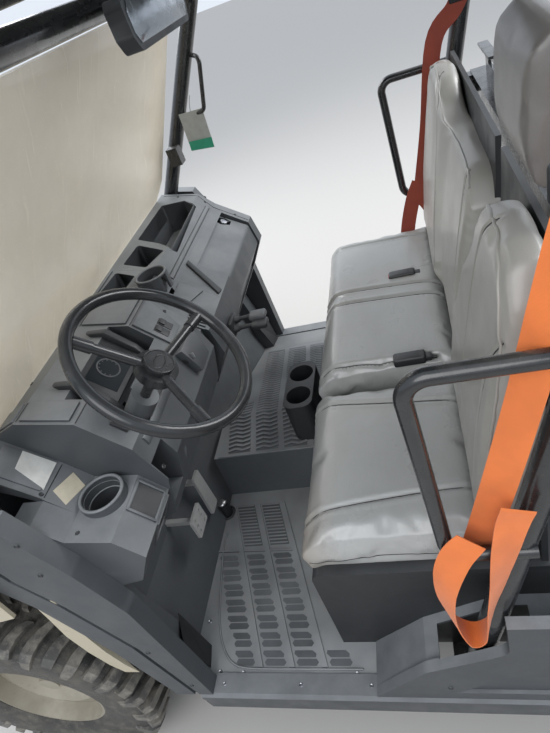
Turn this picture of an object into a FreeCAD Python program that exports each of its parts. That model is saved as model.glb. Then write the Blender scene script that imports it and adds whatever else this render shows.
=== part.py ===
import FreeCAD, Part
import Sketcher
import math
import os

# A side by side utility vehicle with three seats and a tipping cargo bed, in millimetres.
# The front is at -Y, the driver sits at +X, and Z is up from the floor.

SIZES = {
    # whole vehicle
    "rear_end_y": 1525, "front_axle_y": -1065, "rear_axle_y": 995, "outer_face_x": 797,
    "panel": 6, "running_gap": 0.3, "swing_gap": 6,
    # wheels
    "tyre_radius": 343, "tyre_width_front": 229, "tyre_width_rear": 279, "lug_depth": 16,
    "lug_count": 20, "lug_length": 50, "rim_radius": 178, "rim_wall": 9, "disc_wall": 6,
    "stud_circle": 78, "stud_hole": 7, "stud_count": 4, "hub_radius": 45, "hub_face_x": 700,
    # suspension
    "kingpin_x": 604, "ball_height": 100, "ball_depth": 28, "upright_width": 46, "upright_half": 70,
    "spindle_radius": 30, "arm_radius": 14, "eye_radius": 19, "lower_eye_z": 295, "upper_eye_z": 540,
    "shock_foot_x": 448, "shock_foot_z": 284, "shock_head_x": 285, "shock_offset_y": 38,
    "spring_radius": 28, "damper_radius": 18, "shaft_bar_radius": 13, "case_half": 120,
    # steering
    "steer_arm": 110, "steer_drop": 46, "steer_arm_inset": 20, "steer_arm_thick": 14, "rod_drop": 25,
    "rack_radius": 14, "rack_half": 205, "rack_wall": 6, "tie_rod_radius": 9, "rod_end_radius": 14,
    "wheel_rim_radius": 180, "grip_radius": 13, "steer_x": 448, "steer_y": -377, "steer_z": 1194,
    "column_tilt": 42.9, "steer_shaft_radius": 11, "column_radius": 30, "column_near": 120,
    "column_length": 180, "wheel_hub_radius": 32,
    # chassis
    "rail_x": 255, "rail_tube": 50, "rail_bottom": 270, "rail_front_y": -1390, "rail_rear_y": 1400,
    "front_tower_top": 760, "outrigger_top": 374, "outrigger_half": 712,
    # cab frame
    "cab_tube": 25, "pillar_x": 690, "roof_rail_x": 620, "roof_rail_z": 1800, "header_y": -378,
    "header_z": 1745, "cross_rail_y": 360, "cross_rail_z": 1190, "hip_tube": 13, "hip_x": 725,
    "hip_front_y": 94, "hip_top": 1285, "hip_bottom": 887,
    # cab panels
    "floor_z": 380, "hump_z": 550, "floor_front_y": -600, "floor_rear_y": -200.3, "wall_set_back": 55,
    "sill_inner_x": 715, "sill_outer_x": 770, "sill_bottom": 300, "wall_inner_x": 722,
    "wall_outer_x": 766, "rear_panel_x": 740, "cap_radius": 34,
    # dash and windshield
    "dash_half": 655, "dash_top": 1150, "dash_front_y": -752, "bin_floor_z": 1030,
    "cup_radius": 40, "cup_wall": 7, "left_cup_x": 616, "left_cup_y": -556, "left_cup_top": 992,
    "windshield_half": 650, "windshield_thick": 6, "windshield_low": 1150.5, "windshield_slope": 28.8,
    "windshield_length": 640,
    # seats
    "seat_deck_z": 690, "seat_base_half": 640, "cushion_top": 800, "cushion_front_y": -220,
    "cushion_rear_y": 205, "seat_outer_x": 645, "driver_inner_x": 170, "middle_inner_x": 140,
    "back_top": 1360, "headrest_x": 410, "headrest_half": 120,
    # front body
    "hood_thick": 5, "hood_hinge_y": -1404, "hood_hinge_z": 850, "small_pin": 5, "grille_half": 230,
    "slat_count": 4, "slat_pitch": 46,
    "bumper_y": -1500, "bumper_tube": 25,
    # roof
    "roof_top": 1960, "roof_half": 690, "roof_wall": 5, "roof_edge_z": 1890,
    # cargo bed
    "bed_half": 685, "bed_front_y": 555, "bed_rear_y": 1487, "bed_floor_z": 800, "bed_wall": 30,
    "bed_top": 1120, "bed_skirt_z": 712, "tailgate_thick": 30, "bed_hinge_y": 1330,
    "bed_hinge_z": 700, "hinge_pin": 8, "bracket_gap": 5, "bracket_wall": 12, "bracket_half": 24,
    # tow socket
    "socket_half": 25.4, "socket_wall": 6.4, "socket_z": 332, "pin_hole": 8, "pin_y": 1480,
}

doc = FreeCAD.newDocument("utv")
sheet = doc.addObject("Spreadsheet::Sheet", "sizes")
for row, (name, size) in enumerate(SIZES.items(), start=1):
    sheet.set(f"A{row}", name)
    sheet.set(f"B{row}", str(size))
    sheet.setAlias(f"B{row}", name)
doc.recompute()


# Sizes that keep their formula, so that they can be bound to a property

def formula(size):
    return size.text if isinstance(size, Size) else str(size)


class Size:
    """A number together with the sheet formula that it comes from."""

    def __init__(self, text, value):
        self.text = text
        self.value = value

    def __float__(self):
        return float(self.value)

    def __add__(self, other):
        return Size(f"({self.text} + {formula(other)})", self.value + float(other))

    __radd__ = __add__

    def __sub__(self, other):
        return Size(f"({self.text} - {formula(other)})", self.value - float(other))

    def __rsub__(self, other):
        return Size(f"({other} - {self.text})", other - self.value)

    def __mul__(self, other):
        return Size(f"({self.text} * {formula(other)})", self.value * float(other))

    __rmul__ = __mul__

    def __truediv__(self, other):
        return Size(f"({self.text} / {formula(other)})", self.value / float(other))

    def __rtruediv__(self, other):
        return Size(f"({other} / {self.text})", other / self.value)

    def __neg__(self):
        return Size(f"(-{self.text})", -self.value)

    def __lt__(self, other):
        return self.value < float(other)


def v(name):
    """One size of the sheet."""
    return Size("sizes." + name, float(sheet.get(name)))


def bind(obj, path, size):
    """Tie a property to the sheet, or set it to a plain number."""
    obj.setExpression(path, formula(size))


nodes = []


def node(obj, name):
    """Keep an object as one of the sub-parts that are written out."""
    obj.Label = name
    nodes.append(obj)
    return obj


def feature(name, shape):
    """A sub-part whose shape is built by the functions below."""
    obj = doc.addObject("Part::Feature", name)
    obj.Shape = shape
    return node(obj, name)


# Part primitives and booleans that follow the sheet

def block(x0, x1, y0, y1, z0, z1):
    """A box between two corners."""
    obj = doc.addObject("Part::Box", "block")
    for side, low, high, place in (("Length", x0, x1, "x"), ("Width", y0, y1, "y"), ("Height", z0, z1, "z")):
        bind(obj, side, high - low)
        bind(obj, "Placement.Base." + place, low)
    return obj


TURNS = {"x": FreeCAD.Rotation(0, 90, 0), "y": FreeCAD.Rotation(0, 0, -90), "z": FreeCAD.Rotation()}


def cylinder(axis, start, length, radius):
    """A round bar from a start point along +X, +Y or +Z."""
    obj = doc.addObject("Part::Cylinder", "cylinder")
    obj.Placement.Rotation = TURNS[axis]
    bind(obj, "Radius", radius)
    bind(obj, "Height", length)
    for place, size in zip("xyz", start):
        bind(obj, "Placement.Base." + place, size)
    return obj


def fuse(*parts):
    obj = doc.addObject("Part::MultiFuse", "fusion")
    obj.Shapes = list(parts)
    obj.Refine = True
    return obj


def cut(base, *tools):
    obj = doc.addObject("Part::Cut", "cut")
    obj.Base = base
    obj.Tool = tools[0] if len(tools) == 1 else fuse(*tools)
    return obj


def group(*parts):
    """Separate solids of one sub-part."""
    obj = doc.addObject("Part::Compound", "group")
    obj.Links = list(parts)
    return obj


def mirror(source):
    """The same piece on the passenger's side."""
    obj = doc.addObject("Part::Mirroring", "mirrored")
    obj.Source = source
    obj.Normal = FreeCAD.Vector(1, 0, 0)
    return obj


def pair(source):
    return group(source, mirror(source))


# Bodies with sketches

PLANES = {"x": ("YZ_Plane", 1), "y": ("XZ_Plane", -1), "z": ("XY_Plane", 1)}


def body(name):
    obj = doc.addObject("PartDesign::Body", name)
    obj.AllowCompound = True
    return obj


def datum(owner, role):
    return next(item for item in owner.Origin.OriginFeatures if item.Role == role)


def outline_sketch(sketch, corners):
    """A closed outline. A corner is (across, up) or, where it is round, (across, up, radius)."""
    points = [FreeCAD.Vector(float(c[0]), float(c[1]), 0) for c in corners]
    arrive, leave, middle = [], [], []
    for i, corner in enumerate(corners):
        here, before, after = points[i], points[i - 1], points[(i + 1) % len(points)]
        if len(corner) == 2:
            arrive.append(here)
            leave.append(here)
            middle.append(None)
            continue
        one = (before - here).normalize()
        two = (after - here).normalize()
        half = one.getAngle(two) / 2
        radius = float(corner[2])
        arrive.append(here + one * (radius / math.tan(half)))
        leave.append(here + two * (radius / math.tan(half)))
        middle.append(here + (one + two).normalize() * (radius / math.sin(half) - radius))
    lines = [sketch.addGeometry(Part.LineSegment(leave[i], arrive[(i + 1) % len(points)]))
             for i in range(len(points))]
    rules, sizes = [], []
    for i, corner in enumerate(corners):
        before, after = lines[i - 1], lines[i]
        spot = (after, 1)
        if middle[i] is None:
            rules.append(Sketcher.Constraint("Coincident", before, 2, after, 1))
        else:
            turn = (points[i] - points[i - 1]).cross(points[(i + 1) % len(points)] - points[i]).z
            first, last = (1, 2) if turn > 0 else (2, 1)
            arc = sketch.addGeometry(Part.Arc(arrive[i], middle[i], leave[i]))
            mark = sketch.addGeometry(Part.Point(points[i]), True)
            rules.append(Sketcher.Constraint("Tangent", before, 2, arc, first))
            rules.append(Sketcher.Constraint("Tangent", arc, last, after, 1))
            rules.append(Sketcher.Constraint("PointOnObject", mark, 1, before))
            rules.append(Sketcher.Constraint("PointOnObject", mark, 1, after))
            sizes.append((len(rules), corner[2]))
            rules.append(Sketcher.Constraint("Radius", arc, float(corner[2])))
            spot = (mark, 1)
        for kind, place in (("DistanceX", 0), ("DistanceY", 1)):
            sizes.append((len(rules), corner[place]))
            rules.append(Sketcher.Constraint(kind, -1, 1, *spot, float(corner[place])))
    sketch.addConstraint(rules)
    for index, size in sizes:
        if isinstance(size, Size):
            bind(sketch, f"Constraints[{index}]", size)


def circle_sketch(sketch, across, up, radius):
    centre = FreeCAD.Vector(float(across), float(up), 0)
    ring = sketch.addGeometry(Part.Circle(centre, FreeCAD.Vector(0, 0, 1), float(radius)))
    for kind, ends, size in (("Radius", (ring,), radius), ("DistanceX", (-1, 1, ring, 3), across),
                             ("DistanceY", (-1, 1, ring, 3), up)):
        index = sketch.addConstraint(Sketcher.Constraint(kind, *ends, float(size)))
        bind(sketch, f"Constraints[{index}]", size)


def sketch_at(owner, axis, shape, place):
    """A sketch across an axis: a list is an outline, and a tuple is a circle's centre and radius."""
    plane, way = PLANES[axis]
    sketch = owner.newObject("Sketcher::SketchObject", "sketch")
    sketch.AttachmentSupport = [(datum(owner, plane), "")]
    sketch.MapMode = "FlatFace"
    bind(sketch, "AttachmentOffset.Base.z", place * way)
    if isinstance(shape, list):
        outline_sketch(sketch, shape)
    else:
        circle_sketch(sketch, *shape)
    return sketch


def pad(owner, axis, shape, low, high):
    """Material between two places along an axis."""
    sketch = sketch_at(owner, axis, shape, high if axis == "y" else low)
    made = owner.newObject("PartDesign::Pad", "pad")
    made.Profile = sketch
    bind(made, "Length", high - low)
    owner.Tip = made
    return made


def pocket(owner, axis, shape, low, high):
    """A recess between two places along an axis."""
    sketch = sketch_at(owner, axis, shape, low if axis == "y" else high)
    made = owner.newObject("PartDesign::Pocket", "pocket")
    made.Profile = sketch
    bind(made, "Length", high - low)
    owner.Tip = made
    return made


def turned(owner, outline):
    """A ring about the X axis, from an outline of (x, z) corners."""
    sketch = sketch_at(owner, "y", outline, 0)
    made = owner.newObject("PartDesign::Revolution", "turned")
    made.Profile = sketch
    made.ReferenceAxis = (sketch, ["H_Axis"])
    made.Angle = 360
    owner.Tip = made
    return made


def around(owner, source, count):
    """Copies of a feature about the X axis."""
    made = owner.newObject("PartDesign::PolarPattern", "pattern")
    made.Originals = [source]
    made.Axis = (datum(owner, "X_Axis"), [""])
    made.Angle = 360
    bind(made, "Occurrences", count)
    owner.Tip = made
    return made


def along(owner, source, role, length, count):
    """Copies of a feature in a straight row."""
    made = owner.newObject("PartDesign::LinearPattern", "row")
    made.Originals = [source]
    made.Direction = (datum(owner, role), [""])
    bind(made, "Length", length)
    bind(made, "Occurrences", count)
    owner.Tip = made
    return made


def twin(owner, *sources):
    """Features repeated on the other side of the middle plane."""
    made = owner.newObject("PartDesign::Mirrored", "twin")
    made.Originals = list(sources)
    made.MirrorPlane = (datum(owner, "YZ_Plane"), [""])
    owner.Tip = made
    return made


def plate(name, axis, outline, low, high):
    """A body that is one outline drawn out along an axis."""
    made = body(name)
    pad(made, axis, outline, low, high)
    return made


# Shapes built from points, for bent tubes and lofts

def vec(*p):
    return FreeCAD.Vector(*(float(c) for c in p))


def face(points):
    return Part.Face(Part.makePolygon([vec(*p) for p in points] + [vec(*points[0])]))


def prism_x(outline, x0, x1):
    """An outline of (y, z) points, drawn out from x0 to x1."""
    return face([(x0, y, z) for y, z in outline]).extrude(vec(x1 - x0, 0, 0))


def box(x0, x1, y0, y1, z0, z1):
    return Part.makeBox(float(x1 - x0), float(y1 - y0), float(z1 - z0), vec(x0, y0, z0))


def rod(a, b, radius):
    """A round bar from a to b."""
    a, b = vec(*a), vec(*b)
    return Part.makeCylinder(float(radius), (b - a).Length, a, b - a)


def ruled(sections):
    """A solid through closed sections with straight sides."""
    wires = [Part.makePolygon([vec(*p) for p in s] + [vec(*s[0])]) for s in sections]
    return Part.makeLoft(wires, True, True)


def tube(points, radius, bend):
    """A bar along straight runs joined by tangent arcs."""
    pts = [vec(*p) for p in points]
    edges = []
    start = pts[0]
    for before, corner, after in zip(pts, pts[1:], pts[2:]):
        one = (before - corner).normalize()
        two = (after - corner).normalize()
        half = one.getAngle(two) / 2
        reach = bend / math.tan(half)
        inward = (one + two).normalize()
        middle = corner + inward * (bend / math.sin(half) - bend)
        edges.append(Part.LineSegment(start, corner + one * reach).toShape())
        edges.append(Part.Arc(corner + one * reach, middle, corner + two * reach).toShape())
        start = corner + two * reach
    edges.append(Part.LineSegment(start, pts[-1]).toShape())
    section = Part.Wire(Part.Circle(pts[0], pts[1] - pts[0], float(radius)).toShape())
    return Part.Wire(edges).makePipeShell([section], True, False)


def fused(shapes):
    return shapes[0].multiFuse(shapes[1:]).removeSplitter() if len(shapes) > 1 else shapes[0]


def mirrored(shape):
    """The same shape on the passenger's side."""
    return shape.mirror(vec(0, 0, 0), vec(1, 0, 0))


def both(shape):
    return Part.makeCompound([shape, mirrored(shape)])


# Wheels

def tyre(name, width):
    """Carcass turned about the axle, with two staggered rows of lugs that reach over its shoulders."""
    half = width / 2
    tip = v("tyre_radius")
    tread = tip - v("lug_depth")
    bead = v("rim_radius") + v("running_gap")
    made = body(name)
    # distance in from the sidewall's widest place, radius
    flank = [(22, bead), (7, bead + 24), (0, bead + 80), (9, tread - 16), (34, tread)]
    turned(made, [(inset - half, z) for inset, z in flank] + [(half - inset, z) for inset, z in reversed(flank)])
    reach = v("lug_length") / 2
    for side, turn in ((1, 0), (-1, 180 / v("lug_count"))):
        lug = [(5, tread - 8), (half - 10, tread - 30), (half - 1, tread - 24), (half - 9, tip - 7),
               (half - 20, tip), (5, tip)]
        row = pad(made, "y", [(side * x, z) for x, z in lug], -reach, reach)
        bind(row.Profile[0], "AttachmentOffset.Rotation.Angle", turn)
        row.Profile[0].AttachmentOffset.Rotation.Axis = FreeCAD.Vector(1, 0, 0)
        around(made, row, v("lug_count"))
    return made


def rim(name, width):
    """Stamped steel wheel: a barrel with a dished disc and stud holes, its outside at +X."""
    radius, half, wall = v("rim_radius"), width / 2, v("rim_wall")
    hub, thick = v("hub_radius"), v("disc_wall")
    well = radius - wall - 10
    out = half - 28
    disc = v("hub_face_x") + v("running_gap") - v("outer_face_x") + half
    made = body(name)
    turned(made, [(30 - half, radius), (30 - half, radius - wall), (60 - half, well), (out - 46, well),
                  (out, radius - wall), (out, radius)])
    turned(made, [(disc, 20), (disc + thick, 20), (disc + thick, hub + 45), (disc + 26 + thick, hub + 78),
                  (out - 46, well + 1), (out - 52, well + 1), (disc + 26, hub + 84), (disc, hub + 50)])
    diagonal = v("stud_circle") * math.sqrt(0.5)
    hole = pocket(made, "x", (diagonal, diagonal, v("stud_hole")), disc - 5, disc + thick + 5)
    around(made, hole, v("stud_count"))
    pad(made, "x", (0, 0, 30), disc, disc + 34)
    return made


def make_wheels():
    for end, axle, width in (("front", v("front_axle_y"), v("tyre_width_front")),
                             ("rear", v("rear_axle_y"), v("tyre_width_rear"))):
        for kind, build in (("tyre", tyre), ("rim", rim)):
            made = build(f"{kind}_{end}", width)
            bind(made, "Placement.Base.x", v("outer_face_x") - width / 2)
            bind(made, "Placement.Base.y", axle)
            bind(made, "Placement.Base.z", v("tyre_radius"))
            node(made, f"{kind}_{end}_left")
            node(mirror(made), f"{kind}_{end}_right")


# Suspension

def arms_shape(axle_y):
    """Lower and upper wishbones of one side, with their ball joints, rail eyes and shock seat."""
    eye_x = v("rail_x") + v("rail_tube") / 2 + v("eye_radius") + v("running_gap")
    wishbones = []
    # height of the ball over the axle, height of the eyes, half the distance between the eyes
    for height, inner_z, spread in ((-v("ball_height"), v("lower_eye_z"), 135),
                                    (v("ball_height"), v("upper_eye_z"), 105)):
        ball = vec(v("kingpin_x"), axle_y, v("tyre_radius") + height)
        depth = float(v("ball_depth"))
        parts = [Part.makeCylinder(24, depth, ball - vec(0, 0, depth / 2))]
        for way in (-1, 1):
            eye = vec(eye_x, axle_y + way * spread, inner_z)
            parts.append(rod(ball + (eye - ball).normalize() * 19, eye, v("arm_radius")))
            parts.append(rod(eye - vec(0, 26, 0), eye + vec(0, 26, 0), v("eye_radius")))
        wishbones.append(parts)
    seat_x, seat_z = v("shock_foot_x"), v("shock_foot_z")
    wishbones[0].append(box(seat_x - 24, seat_x + 24, axle_y - 78, axle_y + 78, seat_z - 14, seat_z))
    return [fused(parts) for parts in wishbones]


def shock_shape(axle_y, tower_top):
    """Damper with its coil spring as one round body, between the lower wishbone and the tower."""
    y = axle_y + v("shock_offset_y")
    foot = vec(v("shock_foot_x"), y, v("shock_foot_z") + v("running_gap"))
    head = vec(v("shock_head_x"), y, tower_top - v("rail_tube") - v("running_gap"))
    run = head - foot
    parts = [Part.makeCylinder(float(v("damper_radius")), run.Length * 1.2, foot - run * 0.1, run)]
    parts.append(Part.makeCylinder(float(v("spring_radius")), run.Length * 0.5, foot + run * 0.42, run))
    slab = box(0, 700, axle_y - 200, axle_y + 200, foot.z, head.z)
    return fused(parts).common(slab)


def bed_seat_z():
    """Height of the rear tower, which the bed rests on."""
    return v("bed_floor_z") - v("bed_wall") - v("running_gap")


def upright(axle_y):
    """Upright between two ball joints, with the spindle that carries the hub, on the driver's side."""
    x, z, half = v("kingpin_x"), v("tyre_radius"), v("upright_half")
    reach = v("ball_height") - v("ball_depth") / 2 - v("running_gap")
    core = cylinder("z", (x, axle_y, z - half), half * 2, v("upright_width") / 2 + 11)
    neck = cylinder("z", (x, axle_y, z - reach), reach * 2, 13)
    spindle = cylinder("x", (x, axle_y, z), v("hub_face_x") - x, v("spindle_radius"))
    return [core, neck, spindle]


def make_suspension():
    front, rear, z, x = v("front_axle_y"), v("rear_axle_y"), v("tyre_radius"), v("kingpin_x")
    for name, axle in (("front_arms", front), ("rear_arms", rear)):
        arms = arms_shape(axle)
        feature(name, Part.makeCompound(arms + [mirrored(arm) for arm in arms]))
    arm_z = z + v("steer_drop")
    pin_x, pin_y = x - v("steer_arm_inset"), front + v("steer_arm")
    thick = v("steer_arm_thick")
    left = fuse(*upright(front), block(pin_x - 11, pin_x + 11, front + 20, pin_y, arm_z, arm_z + thick),
                cylinder("z", (pin_x, pin_y, arm_z), thick, 16))
    node(left, "knuckle_left")
    node(mirror(left), "knuckle_right")
    node(pair(fuse(*upright(rear))), "rear_hubs")
    shocks = [shock_shape(front, v("front_tower_top")), shock_shape(rear, bed_seat_z())]
    feature("shocks", Part.makeCompound(shocks + [mirrored(one) for one in shocks]))
    case = v("case_half")
    low = v("rail_bottom") + v("rail_tube")
    node(group(plate("front_case", "y", [(-case, low), (case, low), (case, z + 60, 20), (60, z + 90, 20),
                                         (-60, z + 90, 20), (-case, z + 60, 20)], front - 70, front + 70),
               plate("rear_case", "y", [(-case, low), (case, low), (case, z + 90, 20), (70, z + 130, 20),
                                        (-70, z + 130, 20), (-case, z + 90, 20)], rear - 130, rear + 90)),
         "gearcases")
    reach = x - v("upright_width") / 2 - 11 - v("running_gap") - case
    shafts = [cylinder("x", (case, axle, z), reach, v("shaft_bar_radius")) for axle in (front, rear)]
    node(pair(group(*shafts)), "halfshafts")


def make_steering():
    pin_x, rack_y = v("kingpin_x") - v("steer_arm_inset"), v("front_axle_y") + v("steer_arm")
    rod_z = v("tyre_radius") + v("steer_drop") - v("rod_drop")
    half, radius = v("rack_half"), v("rack_radius")
    rack = [cylinder("x", (-pin_x, rack_y, rod_z), pin_x * 2, v("tie_rod_radius")),
            cylinder("x", (-half, rack_y, rod_z), half * 2, radius)]
    for x in (-pin_x, pin_x):
        rack.append(cylinder("z", (x, rack_y, rod_z - 10), 20, v("rod_end_radius")))
    node(fuse(*rack), "steering_rack")
    inner = radius + v("running_gap")
    shell = inner + v("rack_wall")
    length = half - 85
    housing = [cylinder("x", (-length, rack_y, rod_z), length * 2, shell)]
    for side in (-1, 1):
        housing.append(block(side * 70 - 15, side * 70 + 15, rack_y - 20, rack_y + 20,
                             v("rail_bottom") + v("rail_tube"), rod_z))
    node(cut(fuse(*housing), cylinder("x", (-half, rack_y, rod_z), half * 2, inner)), "rack_housing")

    # the wheel is made flat at the origin, then tilted about its own centre
    depth = v("column_near") + v("column_length")
    shaft = v("steer_shaft_radius")
    ring = doc.addObject("Part::Torus", "ring")
    bind(ring, "Radius1", v("wheel_rim_radius"))
    bind(ring, "Radius2", v("grip_radius"))
    parts = [ring, cylinder("z", (0, 0, -34), 20, v("wheel_hub_radius")), cylinder("z", (0, 0, -50), 22, v("wheel_hub_radius") + 12),
             cylinder("z", (0, 0, -depth), depth - 30, shaft)]
    for angle in (48, 168, 288):
        spoke = doc.addObject("Part::Cylinder", "spoke")
        rise, run = 32, v("wheel_rim_radius") - 4
        tilt = math.degrees(math.atan2(float(run), rise))
        turn = FreeCAD.Rotation(FreeCAD.Vector(0, 0, 1), angle).multiply(
            FreeCAD.Rotation(FreeCAD.Vector(0, 1, 0), tilt))
        along_spoke = turn.multVec(FreeCAD.Vector(0, 0, 1))
        sleeve = doc.addObject("Part::Cylinder", "sleeve")
        for piece, radius, start, length in ((spoke, 10, 0, run * 1.016), (sleeve, 12.5, run * 0.76, run * 0.22)):
            bind(piece, "Radius", radius)
            bind(piece, "Height", length)
            piece.Placement.Rotation = turn
            piece.Placement.Base = along_spoke * float(start) + FreeCAD.Vector(0, 0, -36)
            parts.append(piece)
    wheel = fuse(*parts)
    centre = ("steer_x", "steer_y", "steer_z")
    column = cut(cylinder("z", (0, 0, -depth), v("column_length"), v("column_radius")),
                 cylinder("z", (0, 0, -depth - 1), v("column_length") + 2, shaft + v("running_gap")))
    for piece, name in ((wheel, "steering_wheel"), (column, "steering_column")):
        bind(piece, "Placement.Rotation.Angle", -v("column_tilt"))
        piece.Placement.Rotation.Axis = FreeCAD.Vector(1, 0, 0)
        for place, size in zip("xyz", centre):
            bind(piece, "Placement.Base." + place, v(size))
        node(piece, name)


# Chassis and cab frame

def make_frame():
    tube_half, low, x = v("rail_tube") / 2, v("rail_bottom"), v("rail_x")
    rail = v("rail_tube")
    high = low + rail
    front, rear = v("rail_front_y"), v("rail_rear_y")
    parts, towers = [], []
    foot = high + v("running_gap")

    def post(side, y, top):
        towers.append(block(side * x - tube_half, side * x + tube_half, y - tube_half, y + tube_half, foot, top))

    for side in (-1, 1):
        parts.append(block(side * x - tube_half, side * x + tube_half, front, rear, low, high))
    # the cross members stand between the rails and the outriggers lie on them, each a straight tube of its own
    inner = x - tube_half - v("running_gap")
    for y in (front, -1150, -980, -800, -480, 60, 500, 760, 900, 1220, rear - rail):
        parts.append(block(-inner, inner, y, y + rail, low, high))
    top = v("outrigger_top") - v("running_gap")
    reach = v("outrigger_half")
    for y in (-620, 60):
        parts.append(block(-reach, reach, y, y + rail, foot, top))
    for low_x, high_x in ((-reach, -x), (x, reach)):
        parts.append(block(low_x, high_x, 500, 500 + rail, foot, top))
    for axle, tower in ((v("front_axle_y"), v("front_tower_top")), (v("rear_axle_y"), bed_seat_z())):
        towers.append(block(-310, 310, axle - 25, axle + 85, tower - rail, tower))
        for side in (-1, 1):
            for y in (axle - 150, axle + 160):
                post(side, y, tower)
            for z in (v("upper_eye_z") - tube_half, tower - rail):
                towers.append(block(side * x - tube_half, side * x + tube_half, axle - 150, axle + 160, z, z + rail))
    hinge_y, hinge_z = v("bed_hinge_y"), v("bed_hinge_z")
    pin = x + tube_half + v("bracket_gap") + v("bracket_wall") + 6
    for side in (-1, 1):
        post(side, hinge_y, hinge_z + 14)
    towers.append(cylinder("x", (-pin, hinge_y, hinge_z), pin * 2, v("hinge_pin")))
    # stays that carry the bonnet, the headlamps and the front panel
    pin_y, pin_z = v("hood_hinge_y"), v("hood_hinge_z")
    for side in (-1, 1):
        towers.append(block(side * x - 12, side * x + 12, front, front + 24, foot, pin_z + 12))
        towers.append(block(side * x - 12, side * x + 12, pin_y - 12, front + 24, pin_z - 12, pin_z + 12))
    towers.append(block(-330, 330, front, front + 24, 782, 806))
    towers.append(cylinder("x", (-x, pin_y, pin_z), x * 2, v("small_pin")))
    node(group(*parts), "frame")
    node(fuse(*towers), "axle_towers")


def make_cab_frame():
    r = v("cab_tube")
    px, rx, rz = v("pillar_x"), v("roof_rail_x"), v("roof_rail_z")
    foot = v("outrigger_top")
    hoop = [(px - 4, -595, foot - 30), (px, -760, 1085), (px - 10, -405, 1680), (rx, -330, rz), (rx, 330, rz),
            (px, 385, 1690), (px, 385, 1560), (712, 160, 650), (px - 6, 100, foot - 30)]
    side = tube(hoop, r, 60)
    y0, z0 = v("cross_rail_y"), v("cross_rail_z")
    parts = [side, mirrored(side), rod((-655, v("header_y"), v("header_z")), (655, v("header_y"), v("header_z")), r),
             rod((-rx, 340, rz), (rx, 340, rz), r), box(-690, 690, y0, y0 + 45, z0, z0 + 60)]
    for x in (-692, 642):
        parts.append(box(x, x + 50, y0 - 60, y0 + 45, z0 + 5, z0 + 55))
    # first edge, width and top of the slotted plates that stand on the cross rail
    for x, width, top in ((-610, 190, 1335), (-330, 190, 1200), (60, 190, 1262), (330, 190, 1335)):
        hook = [(y0 + 36, z0 + 20), (y0 + 45, z0 + 20), (y0 + 45, top), (y0 + 18, top), (y0 + 18, top - 7),
                (y0 + 36, top - 7)]
        if top > 1255:
            slotted = prism_x(hook, x, x + width)
            parts.append(slotted.cut(box(x + 50, x + width - 50, y0, y0 + 60, top - 50, top - 30)))
    frame = fused(parts).common(box(-900, 900, -900, 900, foot, 2000))
    # grab bar and clamp on the passenger's front pillar
    grab = tube([(-680, -470, 1545), (-630, -425, 1535), (-630, -470, 1385), (-684, -560, 1370)], 7, 22)
    clamp = box(-672, -626, -655, -615, 1240, 1300)
    feature("cab_frame", fused([frame, grab.cut(frame), clamp.cut(frame)]))
    hx, hy, hr = v("hip_x"), v("hip_front_y"), v("hip_tube")
    bar = tube([(hx, 330, v("hip_top")), (hx, hy - 6, v("hip_top")), (hx, hy + 8, v("hip_bottom")),
                (hx, 240, v("hip_bottom"))], hr, 38)
    feature("hip_bars", both(bar.cut(side)))


def make_roof():
    """Moulded roof with a raised middle, two side channels and a turned-down edge."""
    half, top, edge, wall = v("roof_half"), v("roof_top"), v("roof_edge_z"), v("roof_wall")
    sections = []
    # place along the vehicle, drop of the height, inset of the sides
    for y, drop, inset in ((-510, 62, 60), (-440, 12, 10), (-60, 0, 0), (430, 6, 0), (500, 40, 30)):
        side = half - inset
        outer = [(side, edge - 60 - drop), (side, edge - drop), (side - 45, edge + 28 - drop), (330, edge + 28 - drop),
                 (285, top - drop)]
        inner = [(285 - wall, top - wall * 1.6 - drop), (330 - wall, edge + 28 - wall * 1.6 - drop),
                 (side - 45 - wall, edge + 28 - wall * 1.6 - drop), (side - wall, edge - wall - drop),
                 (side - wall, edge - 60 - drop)]
        right = [(-x, y, z) for x, z in reversed(outer)]
        left = [(x, y, z) for x, z in reversed(outer)]
        sections.append(left[::-1] + right + [(-x, y, z) for x, z in reversed(inner)] + [(x, y, z) for x, z in inner])
    shell = ruled(sections)
    rail_top = v("roof_rail_z") + v("cab_tube") + v("running_gap")
    pads = []
    for y in (-300, 280):
        for x in (-645, 595):
            pads.append(box(x, x + 60, y, y + 40, rail_top, edge + 20))
    feature("roof", fused([shell] + pads))


def make_windshield():
    """Clear sheet with cut lower corners, leaning back between the front pillars."""
    half, thick, cutoff = v("windshield_half"), v("windshield_thick"), 60
    length = v("windshield_length")
    made = plate("windshield", "y", [(-half, cutoff), (cutoff - half, 0), (half - cutoff, 0), (half, cutoff),
                                     (half - 28, length, 40), (28 - half, length, 40)], -thick, 0)
    made.Placement.Rotation.Axis = FreeCAD.Vector(1, 0, 0)
    bind(made, "Placement.Rotation.Angle", -v("windshield_slope"))
    bind(made, "Placement.Base.y", v("dash_front_y") + v("running_gap"))
    bind(made, "Placement.Base.z", v("windshield_low"))
    node(made, "windshield")


# Cab panels

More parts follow.
